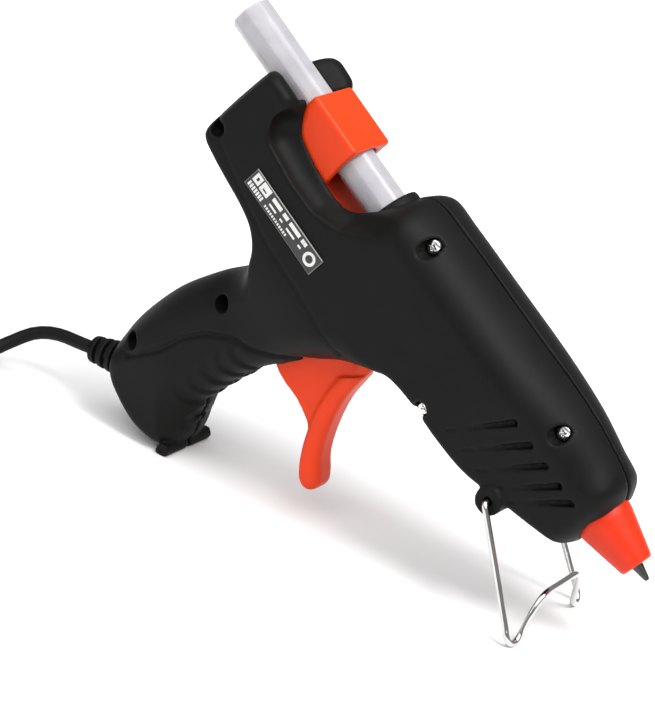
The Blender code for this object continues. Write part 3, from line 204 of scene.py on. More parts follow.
def world_piece(name, points, faces, body, finish, slot, replaces, smooth=180.0, worn=None):
    """A finished piece from points in metres, riding on a body. Edges sharper than `smooth`
    degrees stay sharp; `worn` marks each point for the finish."""
    mesh = bpy.data.meshes.new(name)
    mesh.from_pydata(points, [], faces)
    if worn is not None:
        marks = mesh.attributes.new("worn", "FLOAT", "POINT")
        marks.data.foreach_set("value", np.asarray(worn, np.float32))
    mesh.validate()
    mesh.shade_smooth()
    if smooth < 180.0:
        mesh.set_sharp_from_angle(angle=math.radians(smooth))
    mesh.materials.append(finish.material)
    made = added(name, mesh)
    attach(made, body)
    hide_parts(*replaces)
    return made


def grid_faces(rows, columns, wrap_rows=False, wrap_columns=False):
    """Quads between neighbours of a rows x columns grid of points."""
    i = np.arange(rows if wrap_rows else rows - 1)[:, None]
    j = np.arange(columns if wrap_columns else columns - 1)[None, :]
    near, far = i * columns, (i + 1) % rows * columns
    quads = [near + j, near + (j + 1) % columns, far + (j + 1) % columns, far + j]
    return np.stack(np.broadcast_arrays(*quads), axis=-1).reshape(-1, 4)


def field_surface(field, low, high, step):
    """The closed surface where a field of (x, y, z) passes from negative inside to positive.

    Each grid cell that the surface crosses gets one point, the mean of where its twelve edges
    cross zero, and each grid edge that crosses joins the four cells round it. The third result
    is the field's second difference there: positive on outer edges, negative in hollows.
    """
    lines = [np.arange(a - 2 * step, b + 2 * step, step) for a, b in zip(low, high)]
    grid = np.meshgrid(*lines, indexing="ij", sparse=True)
    value = np.asarray(field(*grid), np.float32)
    shape = np.array(value.shape)
    corner = [value[a:shape[0] - 1 + a, b:shape[1] - 1 + b, c:shape[2] - 1 + c]
              for a in (0, 1) for b in (0, 1) for c in (0, 1)]
    lowest, highest = np.minimum.reduce(corner), np.maximum.reduce(corner)
    cells = np.argwhere((lowest < 0) & (highest >= 0))
    number = np.full(shape - 1, -1, np.int64)
    number[tuple(cells.T)] = np.arange(len(cells))
    total, count = np.zeros((len(cells), 3)), np.zeros(len(cells))
    unit, quads = np.eye(3, dtype=int), []

    def at(places):
        return value[tuple(places.T)]

    for axis in range(3):
        u, v = np.delete(unit, axis, axis=0)
        for a, b in ((0, 0), (0, 1), (1, 0), (1, 1)):
            start = cells + a * u + b * v
            first, last = at(start), at(start + unit[axis])
            crosses = (first < 0) != (last < 0)
            share = first[crosses] / (first[crosses] - last[crosses])
            total[crosses] += start[crosses] + share[:, None] * unit[axis]
            count[crosses] += 1
        lower = np.take(value, range(shape[axis] - 1), axis)
        upper = np.take(value, range(1, shape[axis]), axis)
        edges = np.argwhere((lower < 0) != (upper < 0))
        ring = np.stack([number[tuple((edges + a * u + b * v).T)] for a, b in (
            (-1, -1), (0, -1), (0, 0), (-1, 0))], axis=1)
        inward = (at(edges) < 0) == (axis == 1)
        ring[inward] = ring[inward][:, ::-1]
        quads.append(ring)
    points = total / count[:, None] * step + np.array([line[0] for line in lines])
    middle = np.clip(cells, 1, shape - 2)
    bend = -6.0 * at(middle)
    for move in unit:
        bend += at(middle - move)
        bend += at(middle + move)
    return points, np.concatenate(quads), bend / step


def skin(rings, poles=None):
    """Points and faces of a stack of equal rings, which run anticlockwise seen from its last
    one: closed on a pole at each end or, without poles, from the last ring to the first."""
    rows, sides = rings.shape[:2]
    faces = grid_faces(rows, sides, wrap_rows=poles is None, wrap_columns=True).tolist()
    points = rings.reshape(-1, 3)
    if poles is not None:
        first, last, tail = len(points), len(points) + 1, (rows - 1) * sides
        points = np.concatenate([points, poles])
        faces += [[(k + 1) % sides, k, first] for k in range(sides)]
        faces += [[tail + k, tail + (k + 1) % sides, last] for k in range(sides)]
    return points, faces


def circle(side, over, sides):
    """Unit spokes from the direction `side` round to `over` and on."""
    angle = np.linspace(0.0, 2.0 * np.pi, sides, endpoint=False)[:, None]
    return np.cos(angle) * side[..., None, :] + np.sin(angle) * over[..., None, :]


def tube(path, radius, sides):
    """A round wire: rings square to the path, each turned as little as can be from the last."""
    run = np.gradient(path, axis=0)
    run /= np.linalg.norm(run, axis=1)[:, None]
    side = np.zeros_like(run)
    guess = np.cross(run[0], (0.0, 0.0, 1.0) if abs(run[0][2]) < 0.9 else (1.0, 0.0, 0.0))
    for k, ahead in enumerate(run):
        guess = guess - ahead * (guess @ ahead)
        guess /= np.linalg.norm(guess)
        side[k] = guess
    return skin(path[:, None] + circle(side, np.cross(run, side), sides) * radius, path[[0, -1]])


def turned(profile, sides=64, at=(0.0, 0.0, 0.0), along=(1.0, 0.0, 0.0)):
    """A profile of (distance, radius) turned round the unit direction `along` through `at`; one
    that starts and ends on the axis closes on its poles, and any other is a closed loop."""
    along = np.asarray(along)
    side = np.cross(along, (0.0, 1.0, 0.0))
    solid = profile[0, 1] < 1e-6
    rings = profile[1:-1] if solid else profile
    spoke = circle(side, np.cross(along, side), sides)
    points = (np.asarray(at) + rings[:, :1] * along)[:, None] + rings[:, 1][:, None, None] * spoke
    return skin(points, np.asarray(at) + profile[[0, -1], :1] * along if solid else None)


def rounded_profile(corners, steps=5):
    """A profile whose inner corners, given as (distance, radius, rounding), become arcs
    made by a quadratic curve that leaves each side at the rounding's length."""
    corners = [np.array(c, float) for c in corners]
    out = [corners[0][:2]]
    for before, here, after in zip(corners, corners[1:], corners[2:]):
        spot, reach = here[:2], here[2] if len(here) > 2 else 0.0
        if reach <= 0.0:
            out.append(spot)
            continue
        back, ahead = before[:2] - spot, after[:2] - spot
        a = spot + back * min(reach / np.linalg.norm(back), 0.5)
        b = spot + ahead * min(reach / np.linalg.norm(ahead), 0.5)
        for t in np.linspace(0.0, 1.0, steps):
            out.append((1 - t) ** 2 * a + 2 * t * (1 - t) * spot + t * t * b)
    out.append(corners[-1][:2])
    return np.array(out)


def catmull(points, per_span, closed=False):
    """A smooth curve through the points, `per_span` steps between each two."""
    known = np.asarray(points, float)
    if closed:
        known = np.concatenate([known[-1:], known, known[:2]])
    else:
        known = np.concatenate([2 * known[:1] - known[1:2], known, 2 * known[-1:] - known[-2:-1]])
    t = (np.arange(per_span) / per_span)[None, :, None]
    a, b, c, d = (known[k:len(known) - 3 + k][:, None] for k in range(4))
    path = 0.5 * (2 * b + (c - a) * t + (2 * a - 5 * b + 4 * c - d) * t ** 2
                  + (3 * b - a - 3 * c + d) * t ** 3).reshape(-1, known.shape[1])
    return path if closed else np.concatenate([path, known[-2:-1]])


def even(path, step, closed=False):
    """The same path with points about `step` apart."""
    spots = np.concatenate([path, path[:1]]) if closed else np.asarray(path, float)
    run = np.concatenate([[0.0], np.cumsum(np.linalg.norm(np.diff(spots, axis=0), axis=1))])
    wanted = np.linspace(0.0, run[-1], max(2, round(run[-1] / step)) + 1)
    out = np.stack([np.interp(wanted, run, spots[:, k]) for k in range(spots.shape[1])], axis=1)
    return out[:-1] if closed else out


# ---- mains lead
LEAD_RADIUS = 2.0
RELIEF_MOUTH = np.array([29.2, 0.0, -105.6])
LEAD_RUN = np.array([-0.78, 0.0, -0.626])
LEAD_INSIDE, RELIEF_OUTSIDE = 23.0, 12.0
LEAD_ROUTE = [
    (-104.0, 0.3, 14.8), (-111.4, -1.0, 12.4), (-116.8, -5.6, 8.1), (-120.4, -12.4, 4.6),
    (-125.2, -19.4, 2.7), (-132.5, -25.0, 2.2)]
COIL_CENTRE = np.array([-160.0, -4.0, 0.0])
ROW, INNER_ROW, FIRST_LAYER = 4.1, 18.0, 2.1
COIL_START, COIL_END, COIL_STRIDE, STEP_LENGTH = 55.0, 3131.0, 12.0, 70.0
STEPS_IN, STEPS_OUT, STEPS_UP = (360, 720, 2340, 2700), (1350, 1710), (1080, 2070, 3060)
CLIMB = [
    (9.0, 19.2, 16.2), (17.2, 15.2, 17.9), (22.3, 9.6, 18.6), (24.0, 2.0, 18.7),
    (21.9, -6.6, 18.7), (16.2, -13.2, 18.7), (10.0, -15.9, 18.7), (6.0, -16.0, 18.7),
    (1.0, -16.0, 18.7)]


def eased(value, low, high):
    """0 up to low, 1 from high, smooth between."""
    share = np.clip((value - low) / (high - low), 0.0, 1.0)
    return share * share * (3.0 - 2.0 * share)


def coil_path():
    """Nine turns, three layers of three: the radius steps one row in or out, and the height one
    layer up, each over 70 degrees on a quarter circle, so that neighbours stay a row apart."""
    angle = np.arange(COIL_START, COIL_END, COIL_STRIDE)

    def along(start):
        """The angle along the quarter circle of the step that starts there."""
        return 0.5 * np.pi * eased(angle, start, start + STEP_LENGTH)

    inward = sum(1.0 - np.cos(along(start)) for start in STEPS_IN)
    outward = sum(1.0 - np.cos(along(start)) for start in STEPS_OUT)
    joining = 4.4 * (1.0 - eased(angle, COIL_START, COIL_START + 75.0))
    radius = INNER_ROW + ROW * (2.0 - inward + outward) + joining
    height = FIRST_LAYER + ROW * sum(np.sin(along(start)) for start in STEPS_UP)
    turn = np.radians(angle)
    return COIL_CENTRE + np.stack([radius * np.cos(turn), -radius * np.sin(turn), height], axis=1)


def mains_lead():
    """The whole lead: through the relief, down to the floor, round the coil and into the plug."""
    relief = [placed(RELIEF_MOUTH + LEAD_RUN * d) * 1000.0 for d in
              (-LEAD_INSIDE, -10.0, 0.0, RELIEF_OUTSIDE)]
    known = np.concatenate([relief, LEAD_ROUTE, coil_path(), COIL_CENTRE + CLIMB])
    path = even(catmull(known, 6), 3.0) / 1000.0
    curve = bpy.data.curves.new("mains_lead", "CURVE")
    curve.dimensions, curve.use_fill_caps = "3D", True
    curve.bevel_depth, curve.bevel_resolution = LEAD_RADIUS / 1000.0, 6
    spline = curve.splines.new("POLY")
    spline.points.add(len(path) - 1)
    spline.points.foreach_set("co", np.column_stack([path, np.ones(len(path))]).ravel())
    spline.use_smooth = True
    curve.materials.append(LEAD.material)
    made = added("mains_lead", curve)
    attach(made, "housing")
    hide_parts("power_cord", "power_cord_coil")


# ---- fields and their sums
def soft_max(first, second, reach):
    """The larger of two fields, rounded over `reach` where they are nearly equal."""
    near = np.maximum(reach - np.abs(first - second), 0.0)
    return np.maximum(first, second) + near ** 2 / (4 * reach)


def soft_min(first, second, reach):
    """The smaller of two fields, filled out in the same way."""
    return -soft_max(-first, -second, reach)


def within(*fields):
    """Negative only where every field is: the largest."""
    return reduce(np.maximum, fields)


def between(value, low, high):
    """Negative between two limits, and the distance past the nearer one outside."""
    return np.maximum(low - value, value - high)


def rounded(fields, reach):
    """The largest of some fields, with outer edges that are round over `reach`."""
    fields = [field + reach for field in fields]
    outside = np.sqrt(sum(np.maximum(field, 0.0) ** 2 for field in fields))
    return outside + np.minimum(within(*fields), 0.0) - reach


def box_field(x, y, z, low, high, rounding):
    """Distance to a box with rounded edges."""
    return rounded([between(v, a, b) for v, a, b in zip((x, y, z), low, high)], rounding)


def disc(a, b, middle):
    """Distance in a plane from a middle."""
    return np.hypot(a - middle[0], b - middle[1])


def path_distance(a, b, path):
    """Distance in a plane from (a, b) to a chain of straight pieces."""
    best = np.full(np.broadcast(a, b).shape, 1e6)
    for (a0, b0), (a1, b1) in zip(path, path[1:]):
        da, db = a1 - a0, b1 - b0
        share = np.clip(((a - a0) * da + (b - b0) * db) / (da * da + db * db), 0.0, 1.0)
        best = np.minimum(best, disc(a - share * da, b - share * db, (a0, b0)))
    return best


def loop_field(a, b, loop):
    """Signed distance in a plane to a closed loop, negative inside: each side that a ray along
    +a crosses turns outside into inside."""
    loop = np.asarray(loop, float)
    inside = np.zeros(np.broadcast(a, b).shape, bool)
    for (a0, b0), (a1, b1) in zip(loop, np.roll(loop, -1, axis=0)):
        if b0 != b1:
            inside ^= ((b0 > b) != (b1 > b)) & (a < a0 + (b - b0) / (b1 - b0) * (a1 - a0))
    distance = path_distance(a, b, np.concatenate([loop, loop[:1]]))
    return np.where(inside, -distance, distance)


def chain_field(x, y, z, path, radius):
    """Distance to a chain of round rods: to each straight piece's axis, less the radius."""
    best = np.full(np.broadcast(x, y, z).shape, 1e6)
    path = np.asarray(path, float)
    for start, run in zip(path, np.diff(path, axis=0)):
        away = [v - a for v, a in zip((x, y, z), start)]
        share = np.clip(sum(d * e for d, e in zip(away, run)) / (run @ run), 0.0, 1.0)
        best = np.minimum(best, sum((d - share * e) ** 2 for d, e in zip(away, run)))
    return np.sqrt(best) - radius


# ---- housing's form
WALL = 2.4
BODY_HALF, NOSE_HALF, GRIP_HALF, HEEL_HALF = 17.5, 11.8, 13.8, 11.2
NOSE_TAPER_START, BARREL_LENGTH = 100.0, 151.5
SIDE_ROLL, TIGHT_ROLL = 11.0, 4.5
REAR_OUTLINE = [
    (1.2, 3.5), (4.5, 7.0), (9.0, 7.3), (13.2, 6.7), (16.0, 4.4), (18.2, 0.8), (22.0, -2.2),
    (29.0, -3.9), (38.0, -4.6), (44.0, -3.4)]
BARREL_OUTLINE = [
    (48.3, 2.2), (51.8, 8.6), (54.6, 13.0), (59.0, 15.0), (68.0, 15.5), (84.0, 15.7),
    (102.0, 16.0), (118.0, 16.2), (128.0, 15.9), (137.0, 14.8), (143.5, 13.6), (147.3, 11.9),
    (149.8, 8.8), (151.3, 5.2), (BARREL_LENGTH, 1.5), (151.6, -6.6), (149.5, -12.0),
    (142.6, -15.0), (131.4, -18.2), (119.4, -21.4), (107.0, -21.9), (97.0, -21.7)]
GRIP_OUTLINE = [
    (88.4, -22.8), (84.6, -25.3), (81.2, -28.1), (75.6, -34.5), (70.9, -41.4), (66.4, -49.8),
    (62.6, -59.8), (59.2, -69.5), (57.6, -79.0), (57.0, -86.0), (58.9, -90.7), (61.2, -96.5),
    (61.0, -102.5), (56.6, -106.5), (49.0, -108.6), (40.5, -108.0), (33.4, -105.8),
    (28.4, -101.4), (26.1, -94.0), (25.4, -84.0), (26.8, -70.0), (30.9, -57.0), (35.0, -48.0),
    (36.2, -41.5), (34.4, -35.9), (30.0, -32.3), (24.0, -30.7), (16.0, -29.8), (9.0, -28.9),
    (3.4, -27.6), (0.3, -24.6), (0.0, -19.0), (0.2, -8.0)]


def smooth_loop(points, per_span):
    """A closed smooth curve through the points, with a point every millimetre."""
    return even(catmull(points, per_span, closed=True), 1.0, closed=True)


OUTLINE = smooth_loop(REAR_OUTLINE + BARREL_OUTLINE + GRIP_OUTLINE, 8)


def half_width(x, z):
    """Half the width between flanks: barrel, narrowing to the nose, and grip, to the heel."""
    barrel = BODY_HALF - (BODY_HALF - NOSE_HALF) * eased(x, NOSE_TAPER_START, BARREL_LENGTH + 6.0)
    grip = HEEL_HALF + (GRIP_HALF - HEEL_HALF) * eased(z, -108.0, -80.0)
    return grip + (barrel - grip) * eased(z, -56.0, -30.0)


def edge_roll(x, z):
    """How far the side rolls into the edge: tight round the rear and the slot, under the barrel
    and round the heel, less so at the nose, wide elsewhere."""
    rear = eased(z, -46.0, -36.0) * (1.0 - eased(x, 44.0, 66.0))
    under = (1.0 - eased(z, -12.0, -4.0)) * eased(x, 68.0, 82.0)
    heel = 1.0 - eased(z, -104.0, -92.0)
    nose = 0.75 * eased(x, 138.0, 148.0)
    tight = within(rear, under, heel, nose)
    return SIDE_ROLL + (TIGHT_ROLL - SIDE_ROLL) * tight


def form_field(y, depth, width, roll):
    """Distance to the side form: with u the shortfall of depth against the roll and v the share
    of the half width, a point is on the surface where u squared plus v squared is one."""
    u, v = np.maximum(roll - depth, 0.0) / roll, np.abs(y) / width
    size = np.sqrt(u * u + v * v) + 1e-9
    return (size - 1.0) * size / (np.sqrt((u / roll) ** 2 + (v / width) ** 2) + 1e-9)


def side_at(x, z):
    """The side's height over the parting plane, by the same law solved for y."""
    x, z = np.asarray(x, float), np.asarray(z, float)
    depth = np.maximum(-loop_field(x, z, OUTLINE), 0.0)
    u = np.maximum(1.0 - depth / edge_roll(x, z), 0.0)
    return half_width(x, z) * np.sqrt(1.0 - u * u)


# ---- housing shells
GAP = 0.3
EAR_SLOT_HALF, EAR_LENGTH = 8.6, 13.5
FUNNEL_FOOT, FUNNEL_SLOPE, FUNNEL_SLANT = 1.5, 0.78, 1.27
CARRIAGE_HALF, CARRIAGE_FLOOR, SLOT_FRONT, SLOT_CORNER = 9.3, -11.0, 48.4, 1.2
COLLAR_SEAT, COLLAR_START, COLLAR_END = 9.1, 26.4, 53.6
FEED_WAY, FEED_START, FEED_END = 8.0, 48.5, 119.5
NOSE_WAY, NOSE_WAY_START = 8.25, 141.0
SLOT_WALL, SCOOP_RADIUS = 2.0, 7.1
BOSS_RADIUS, BOSS_HALF = 4.3, 16.0
FOOT_BAR, FOOT_RADIUS, FOOT_HALF, FOOT_FLAT = (61.0, -102.6), 1.9, 11.25, 0.4
SCREWS = [(4.6, -19.5, 7.5), (41.0, -54.3, 7.5), (31.2, -89.0, 6.5), (67.0, 11.2, 4.6),
          (126.5, 10.6, 4.6), (99.0, -17.7, 5.0)]
SCREW_WELL, SCREW_POST, SCREW_HEAD, SCREW_HEAD_HIGH = 2.45, 1.2, 2.1, 1.5
TRIGGER_HALF_WAY, HUB_WAY, HUB_HALF_WAY = 5.4, 6.0, 6.5
PARTING_HALF, PARTING_DEPTH, PARTING_PLANE = 0.45, 1.2, 0.12
RELIEF_WAY, RELIEF_START, RELIEF_END = 3.9, -10.0, 8.0
WIRE_WAY, WIRE_WAY_START = 1.2, 8.7
INNER_WAYS = [(47.0, 72.0, 5.4, -22.0, -11.0), (40.5, 73.5, 7.9, -11.5, -8.8),
              (80.0, 119.6, 7.3, -14.6, -1.0)]
TRIGGER_WAY = [
    (74.0, -20.0), (88.5, -22.5), (88.5, -32.0), (76.0, -46.0), (72.0, -66.0), (50.0, -66.0),
    (50.0, -62.0), (52.0, -52.0), (57.0, -48.0), (66.0, -34.0)]
SCOOP = [
    (20.5, 17.2, -1.5), (30.0, 17.2, -2.6), (38.0, 17.2, -2.4), (44.0, 17.8, 0.0),
    (50.0, 20.0, 5.0), (56.0, 23.5, 11.0)]
GRIP_GROOVE = [
    (33.6, -92.8), (37.4, -84.8), (39.3, -79.9), (40.9, -71.6), (44.4, -64.1), (50.0, -57.8),
    (55.5, -55.1), (60.7, -51.3), (65.2, -47.0), (69.0, -43.4)]
PANEL_LINE = [
    (-0.5, -17.8), (8.0, -20.9), (17.4, -23.3), (27.2, -25.4), (35.2, -27.0), (44.0, -27.6),
    (53.1, -27.9), (62.9, -28.8), (72.8, -29.7)]
LIP_LINE = [(57.0, -84.6), (58.0, -86.9), (58.3, -92.2), (61.2, -95.8), (64.1, -100.5)]
PAD_COUNT, PAD_TOP, PAD_PITCH, PAD_RADIUS, PAD_DEPTH = 5, 56.0, 6.2, 6.4, 1.05
HEEL_DENTS = [(38.6, -108.6), (44.3, -110.0), (50.0, -109.6), (55.0, -108.4)]


def slot_field(x, y, z):
    """The open-topped channel: the funnel between the ears, and the rest of it, which is the
    carriage's well, the mouth at its front and the ways for the inlet and the heated barrel."""
    across, radius = np.abs(y), np.hypot(y, z)
    slope = FUNNEL_FOOT + FUNNEL_SLOPE * (across - EAR_SLOT_HALF) - z
    funnel = np.minimum(np.hypot(y, np.minimum(z, 0.0)) - EAR_SLOT_HALF,
                        slope / FUNNEL_SLANT)
    funnel = np.maximum(funnel, x - EAR_LENGTH + 0.4)
    plan = rounded([x - SLOT_FRONT, across - CARRIAGE_HALF - GAP], SLOT_CORNER)
    well = within(plan, EAR_LENGTH - 1.0 - x, CARRIAGE_FLOOR - GAP - z)
    mouth = np.maximum(radius - COLLAR_SEAT, between(x, COLLAR_START, COLLAR_END))
    feed = np.maximum(radius - FEED_WAY, between(x, FEED_START, FEED_END))
    nose = np.maximum(radius - NOSE_WAY, NOSE_WAY_START - x)
    return funnel, np.minimum.reduce(np.broadcast_arrays(well, mouth, feed, nose))


def sunk(distance, depth, width):
    """A moulded line's depth, which falls off as the square of the distance over its width."""
    return depth * np.exp(-(distance / width) ** 2)


def sunk_lines(x, z):
    """How deep the moulded lines lie; a finger pad sinks as the square of the way out from
    its middle, and each pad hides the edge of the one above."""
    deep = sunk(path_distance(x, z, GRIP_GROOVE), 0.9, 0.75)
    deep += sunk(path_distance(x, z, PANEL_LINE), 0.3, 0.45)
    deep += sunk(path_distance(x, z, LIP_LINE), 0.7, 0.45)
    deep += sunk(disc(x, z, (73.4, -30.0)), 0.8, 0.8)
    pads = np.zeros(np.broadcast(x, z).shape)
    for k in reversed(range(PAD_COUNT)):
        drop = -(z + PAD_TOP + PAD_PITCH * k)
        out = np.hypot(x - 57.0 + 0.5 * k, drop) / PAD_RADIUS
        hide = eased(out, 0.88, 1.12)
        pads = hide * pads + (1.0 - hide) * PAD_DEPTH * out ** 2 * eased(drop, -3.0, 2.5)
    deep += pads * eased(x, 48.0, 53.0)
    for dent in HEEL_DENTS:
        deep += sunk(disc(x, z, dent), 0.7, 1.9)
    return deep


VENTS = [
    ((110.6, -8.6), (117.6, 4.6)), ((117.4, -8.6), (124.6, 4.0)), ((124.0, -9.0), (131.2, 3.6)),
    ((130.2, -9.4), (137.6, 2.9)), ((135.0, -9.4), (143.0, 2.5))]


def vent_field(x, z, form):
    """Five slanting louvres, narrow and shallow at the low end, wide and deep at the high one,
    each with a short tick of its own line below."""
    best = np.full(np.broadcast(x, z, form).shape, 1e6)
    for low, high in VENTS:
        length = math.dist(low, high)
        run = (np.array(high) - low) / length
        along = ((x - low[0]) * run[0] + (z - low[1]) * run[1]) / length
        across = np.abs((x - low[0]) * run[1] - (z - low[1]) * run[0])
        share = np.clip(along, 0.0, 1.0)
        gap = np.maximum(across - 0.5 - 0.5 * share, (np.abs(along - 0.5) - 0.5) * length)
        best = np.minimum(best, np.maximum(gap, -form - 0.25 - 1.9 * share ** 1.3))
        tick = np.hypot(np.maximum(np.abs(along + 0.3) * length - 1.3, 0.0), across) - 0.4
        best = np.minimum(best, np.maximum(tick, -form - 0.5))
    return best


def shell_field(x, y, z, wells):
    """One half shell on the side of positive y: the form with its fittings, less what is open."""
    form = form_field(y, -loop_field(x, z, OUTLINE), half_width(x, z), edge_roll(x, z))
    scoop = chain_field(x, y, z, SCOOP, SCOOP_RADIUS)
    funnel, slot = slot_field(x, y, z)
    outer = form + sunk_lines(x, z)
    for void, reach in ((scoop, 1.0), (funnel, 2.6), (slot, 0.8)):
        outer = soft_max(outer, -void, reach)
    outer = np.maximum(outer, -vent_field(x, z, form))
    hollow = soft_max(form + WALL, SLOT_WALL - np.minimum(slot, funnel), 1.0)
    hollow = soft_max(hollow, SLOT_WALL - scoop, 1.0)
    for at_x, at_z, deep in SCREWS:
        post = disc(x, z, (at_x, at_z))
        hollow = np.maximum(hollow, SCREW_WELL + SCREW_POST - post)
        if wells:
            well = within(post - SCREW_WELL, float(side_at(at_x, at_z)) - deep - y)
            outer = soft_max(outer, -well, 0.4)
    from_boss, from_bar = disc(x, z, BOSS[[0, 2]]), disc(x, z, FOOT_BAR)
    outer = soft_min(outer, np.maximum(from_boss - BOSS_RADIUS, y - BOSS_HALF) + 0.3, 1.2)
    outer = soft_min(outer, np.maximum(from_bar - FOOT_RADIUS - 0.3, y - FOOT_HALF) + 0.1, 0.6)
    dimple = np.hypot(from_bar, (y - FOOT_HALF) * 1.6) - 0.9
    below = (x - FOOT_BAR[0]) * math.sin(PITCH) - (z - FOOT_BAR[1]) * math.cos(PITCH)
    outer = np.maximum(outer, np.maximum(-dimple, below - FOOT_RADIUS + FOOT_FLAT))
    solid = soft_max(outer, -hollow, 0.4)
    away = x - RELIEF_MOUTH[0], z - RELIEF_MOUTH[2]
    relief = np.hypot(away[0] * LEAD_RUN[2] - away[1] * LEAD_RUN[0], y)
    inside = away[0] * LEAD_RUN[0] + away[1] * LEAD_RUN[2]
    open_ways = [within(between(x, x0, x1), y - half, between(z, z0, z1))
                 for x0, x1, half, z0, z1 in INNER_WAYS]
    open_ways += [within(loop_field(x, z, TRIGGER_WAY), y - TRIGGER_HALF_WAY),
                  within(disc(x, z, PIVOT[[0, 2]]) - HUB_WAY, y - HUB_HALF_WAY),
                  within(y - PARTING_HALF, -form - PARTING_DEPTH),
                  within(relief - RELIEF_WAY, between(inside, RELIEF_START, RELIEF_END)),
                  within(from_boss - WIRE_WAY, WIRE_WAY_START - y)]
    for way in open_ways:
        solid = soft_max(solid, -way, 0.5)
    return soft_max(solid, PARTING_PLANE - y, 0.35)


def housing_shells():
    """Both halves, from one field; the wells for the screws are in the right one."""
    low, high = (-0.5, 0.0, -111.0), (153.0, 18.0, 19.0)
    for name, side, wells in (("left", 1, False), ("right", -1, True)):
        points, quads, bend = field_surface(
            lambda x, y, z: shell_field(x, y, z, wells), low, high, 0.55)
        points[:, 1] *= side
        mesh_piece(f"{name}_half", points, quads[:, ::side], "housing", HOUSING, "black_plastic",
                   [f"{name}_shell"], worn=bend)


# ---- glue feed
STICK_REAR, STICK_TIP, STICK_FLAT, STICK_SIDES = -17.5, 85.0, 5.6, 96
DRIVE_PIN, DRIVE_PIN_RADIUS = (53.8, -14.5), 1.25
CARRIAGE_REAR, CARRIAGE_FRONT, CARRIAGE_TOP, FRONT_SLANT = 14.6, 33.7, 7.3, 0.1
CARRIAGE_BORE, ARCH_RADIUS, TONGUE_TOP = 6.2, 6.9, -9.3


def glue_stick():
    """An eight-sided bar: straight flats, soft corners, its cut ends a little rounded."""
    turn = np.radians(np.arange(STICK_SIDES) * 360.0 / STICK_SIDES)
    off = np.abs((np.degrees(turn) + 22.5) % 45.0 - 22.5)
    radius = STICK_FLAT / np.cos(np.radians(off)) - 0.028 * STICK_FLAT * eased(off, 11.0, 22.5)
    lengths = [(STICK_REAR, 0.9), (STICK_REAR + 0.12, 0.97), (STICK_REAR + 0.4, 1.0)]
    lengths += [(x, 1.0) for x in np.arange(-12.0, 84.0, 6.0)]
    lengths += [(STICK_TIP - 0.4, 1.0), (STICK_TIP - 0.1, 0.96), (STICK_TIP, 0.9)]
    rings = np.array([np.stack([np.full(STICK_SIDES, x), share * radius * np.cos(turn),
                                share * radius * np.sin(turn)], axis=1) for x, share in lengths])
    points, faces = skin(rings, np.array([(STICK_REAR, 0.0, 0.0), (STICK_TIP, 0.0, 0.0)]))
    mesh_piece("stick", points, faces, "glue_stick", GLUE, "glue", ["glue_stick"], smooth=50.0)


def carriage_field(x, y, z):
    """The square sleeve with its arched front, the tongue under it and the cheeks ahead."""
    across, radius = np.abs(y), np.hypot(y, z)
    front = CARRIAGE_FRONT - FRONT_SLANT * np.minimum(z, 0.0)
    low, high = (CARRIAGE_REAR, -CARRIAGE_HALF, CARRIAGE_FLOOR), (36.4, CARRIAGE_HALF, CARRIAGE_TOP)
    body = soft_max(box_field(x, y, z, low, high, 1.1), x - front, 1.1)
    plan = loop_field(x, across, [(20.0, -1.0), (20.0, 7.4), (43.6, 7.4), (45.6, 6.8), (47.0, 5.6),
                                  (47.5, 4.9), (57.5, 4.9), (57.5, -1.0)])
    tongue = soft_max(plan, between(z, CARRIAGE_FLOOR, TONGUE_TOP), 0.35)
    cheek = box_field(x, across, z, (50.2, 3.05, -17.2), (57.3, 4.95, -9.6), 0.4)
    solid = soft_min(soft_min(body, tongue, 0.5), cheek, 0.4)
    arch = within(np.hypot(y, np.maximum(z + 0.8, 0.0)) - ARCH_RADIUS, TONGUE_TOP - z)
    voids = [within(radius - CARRIAGE_BORE, between(x, 14.0, 38.0)),
             within(arch, between(x, 27.6, 37.4)),
             within(between(x, 17.7, 26.3), across - 3.3, between(z, -8.7, -4.0)),
             within(disc(x, z, DRIVE_PIN) - DRIVE_PIN_RADIUS - 0.2, across - 8.0)]
    for void in voids:
        solid = soft_max(solid, -void, 0.5)
    return solid


def carriage():
    """The pusher that grips the stick."""
    points, quads, bend = field_surface(carriage_field, (14.5, -9.8, -17.6), (58.0, 9.8, 7.5), 0.35)
    mesh_piece("pusher", points, quads, "carriage", ORANGE, "orange_plastic", ["carriage"],
               worn=bend)


def about_pivot(radius, degrees):
    """The point (x, z) at that radius and angle round the trigger's pivot."""
    turn = math.radians(degrees)
    return (PIVOT[0] + radius * math.cos(turn), PIVOT[2] + radius * math.sin(turn))


LEVER_HALF, LEVER_ROUNDING, WEB_HALF, ARM_HALF, HUB_RADIUS, HUB_HALF = 4.6, 2.7, 3.0, 2.4, 5.0, 6.2
LEVER = [about_pivot(21.9, a) for a in (47.0, 38.0, 29.0, 20.5)] + [
    (81.2, -39.8), (82.2, -46.2), (84.8, -53.4), (87.8, -59.4), (90.7, -63.6), (93.7, -66.3),
    (95.9, -68.8), (96.3, -71.5), (94.8, -73.7), (91.8, -73.9), (88.6, -71.5), (85.0, -66.9),
    (81.6, -61.2), (78.9, -55.4), (76.8, -48.6), (75.9, -42.2), about_pivot(16.4, 20.5),
    about_pivot(16.8, 34.0), about_pivot(17.6, 46.0)]
WEB = [about_pivot(4.4, 120.0), (72.0, -34.8), (78.0, -38.0), (79.0, -47.0), (81.6, -56.5),
       (81.4, -60.4), (79.2, -60.0), (73.5, -58.8), (67.0, -58.9), (62.8, -58.2), (59.8, -56.0),
       about_pivot(4.4, 200.0)]


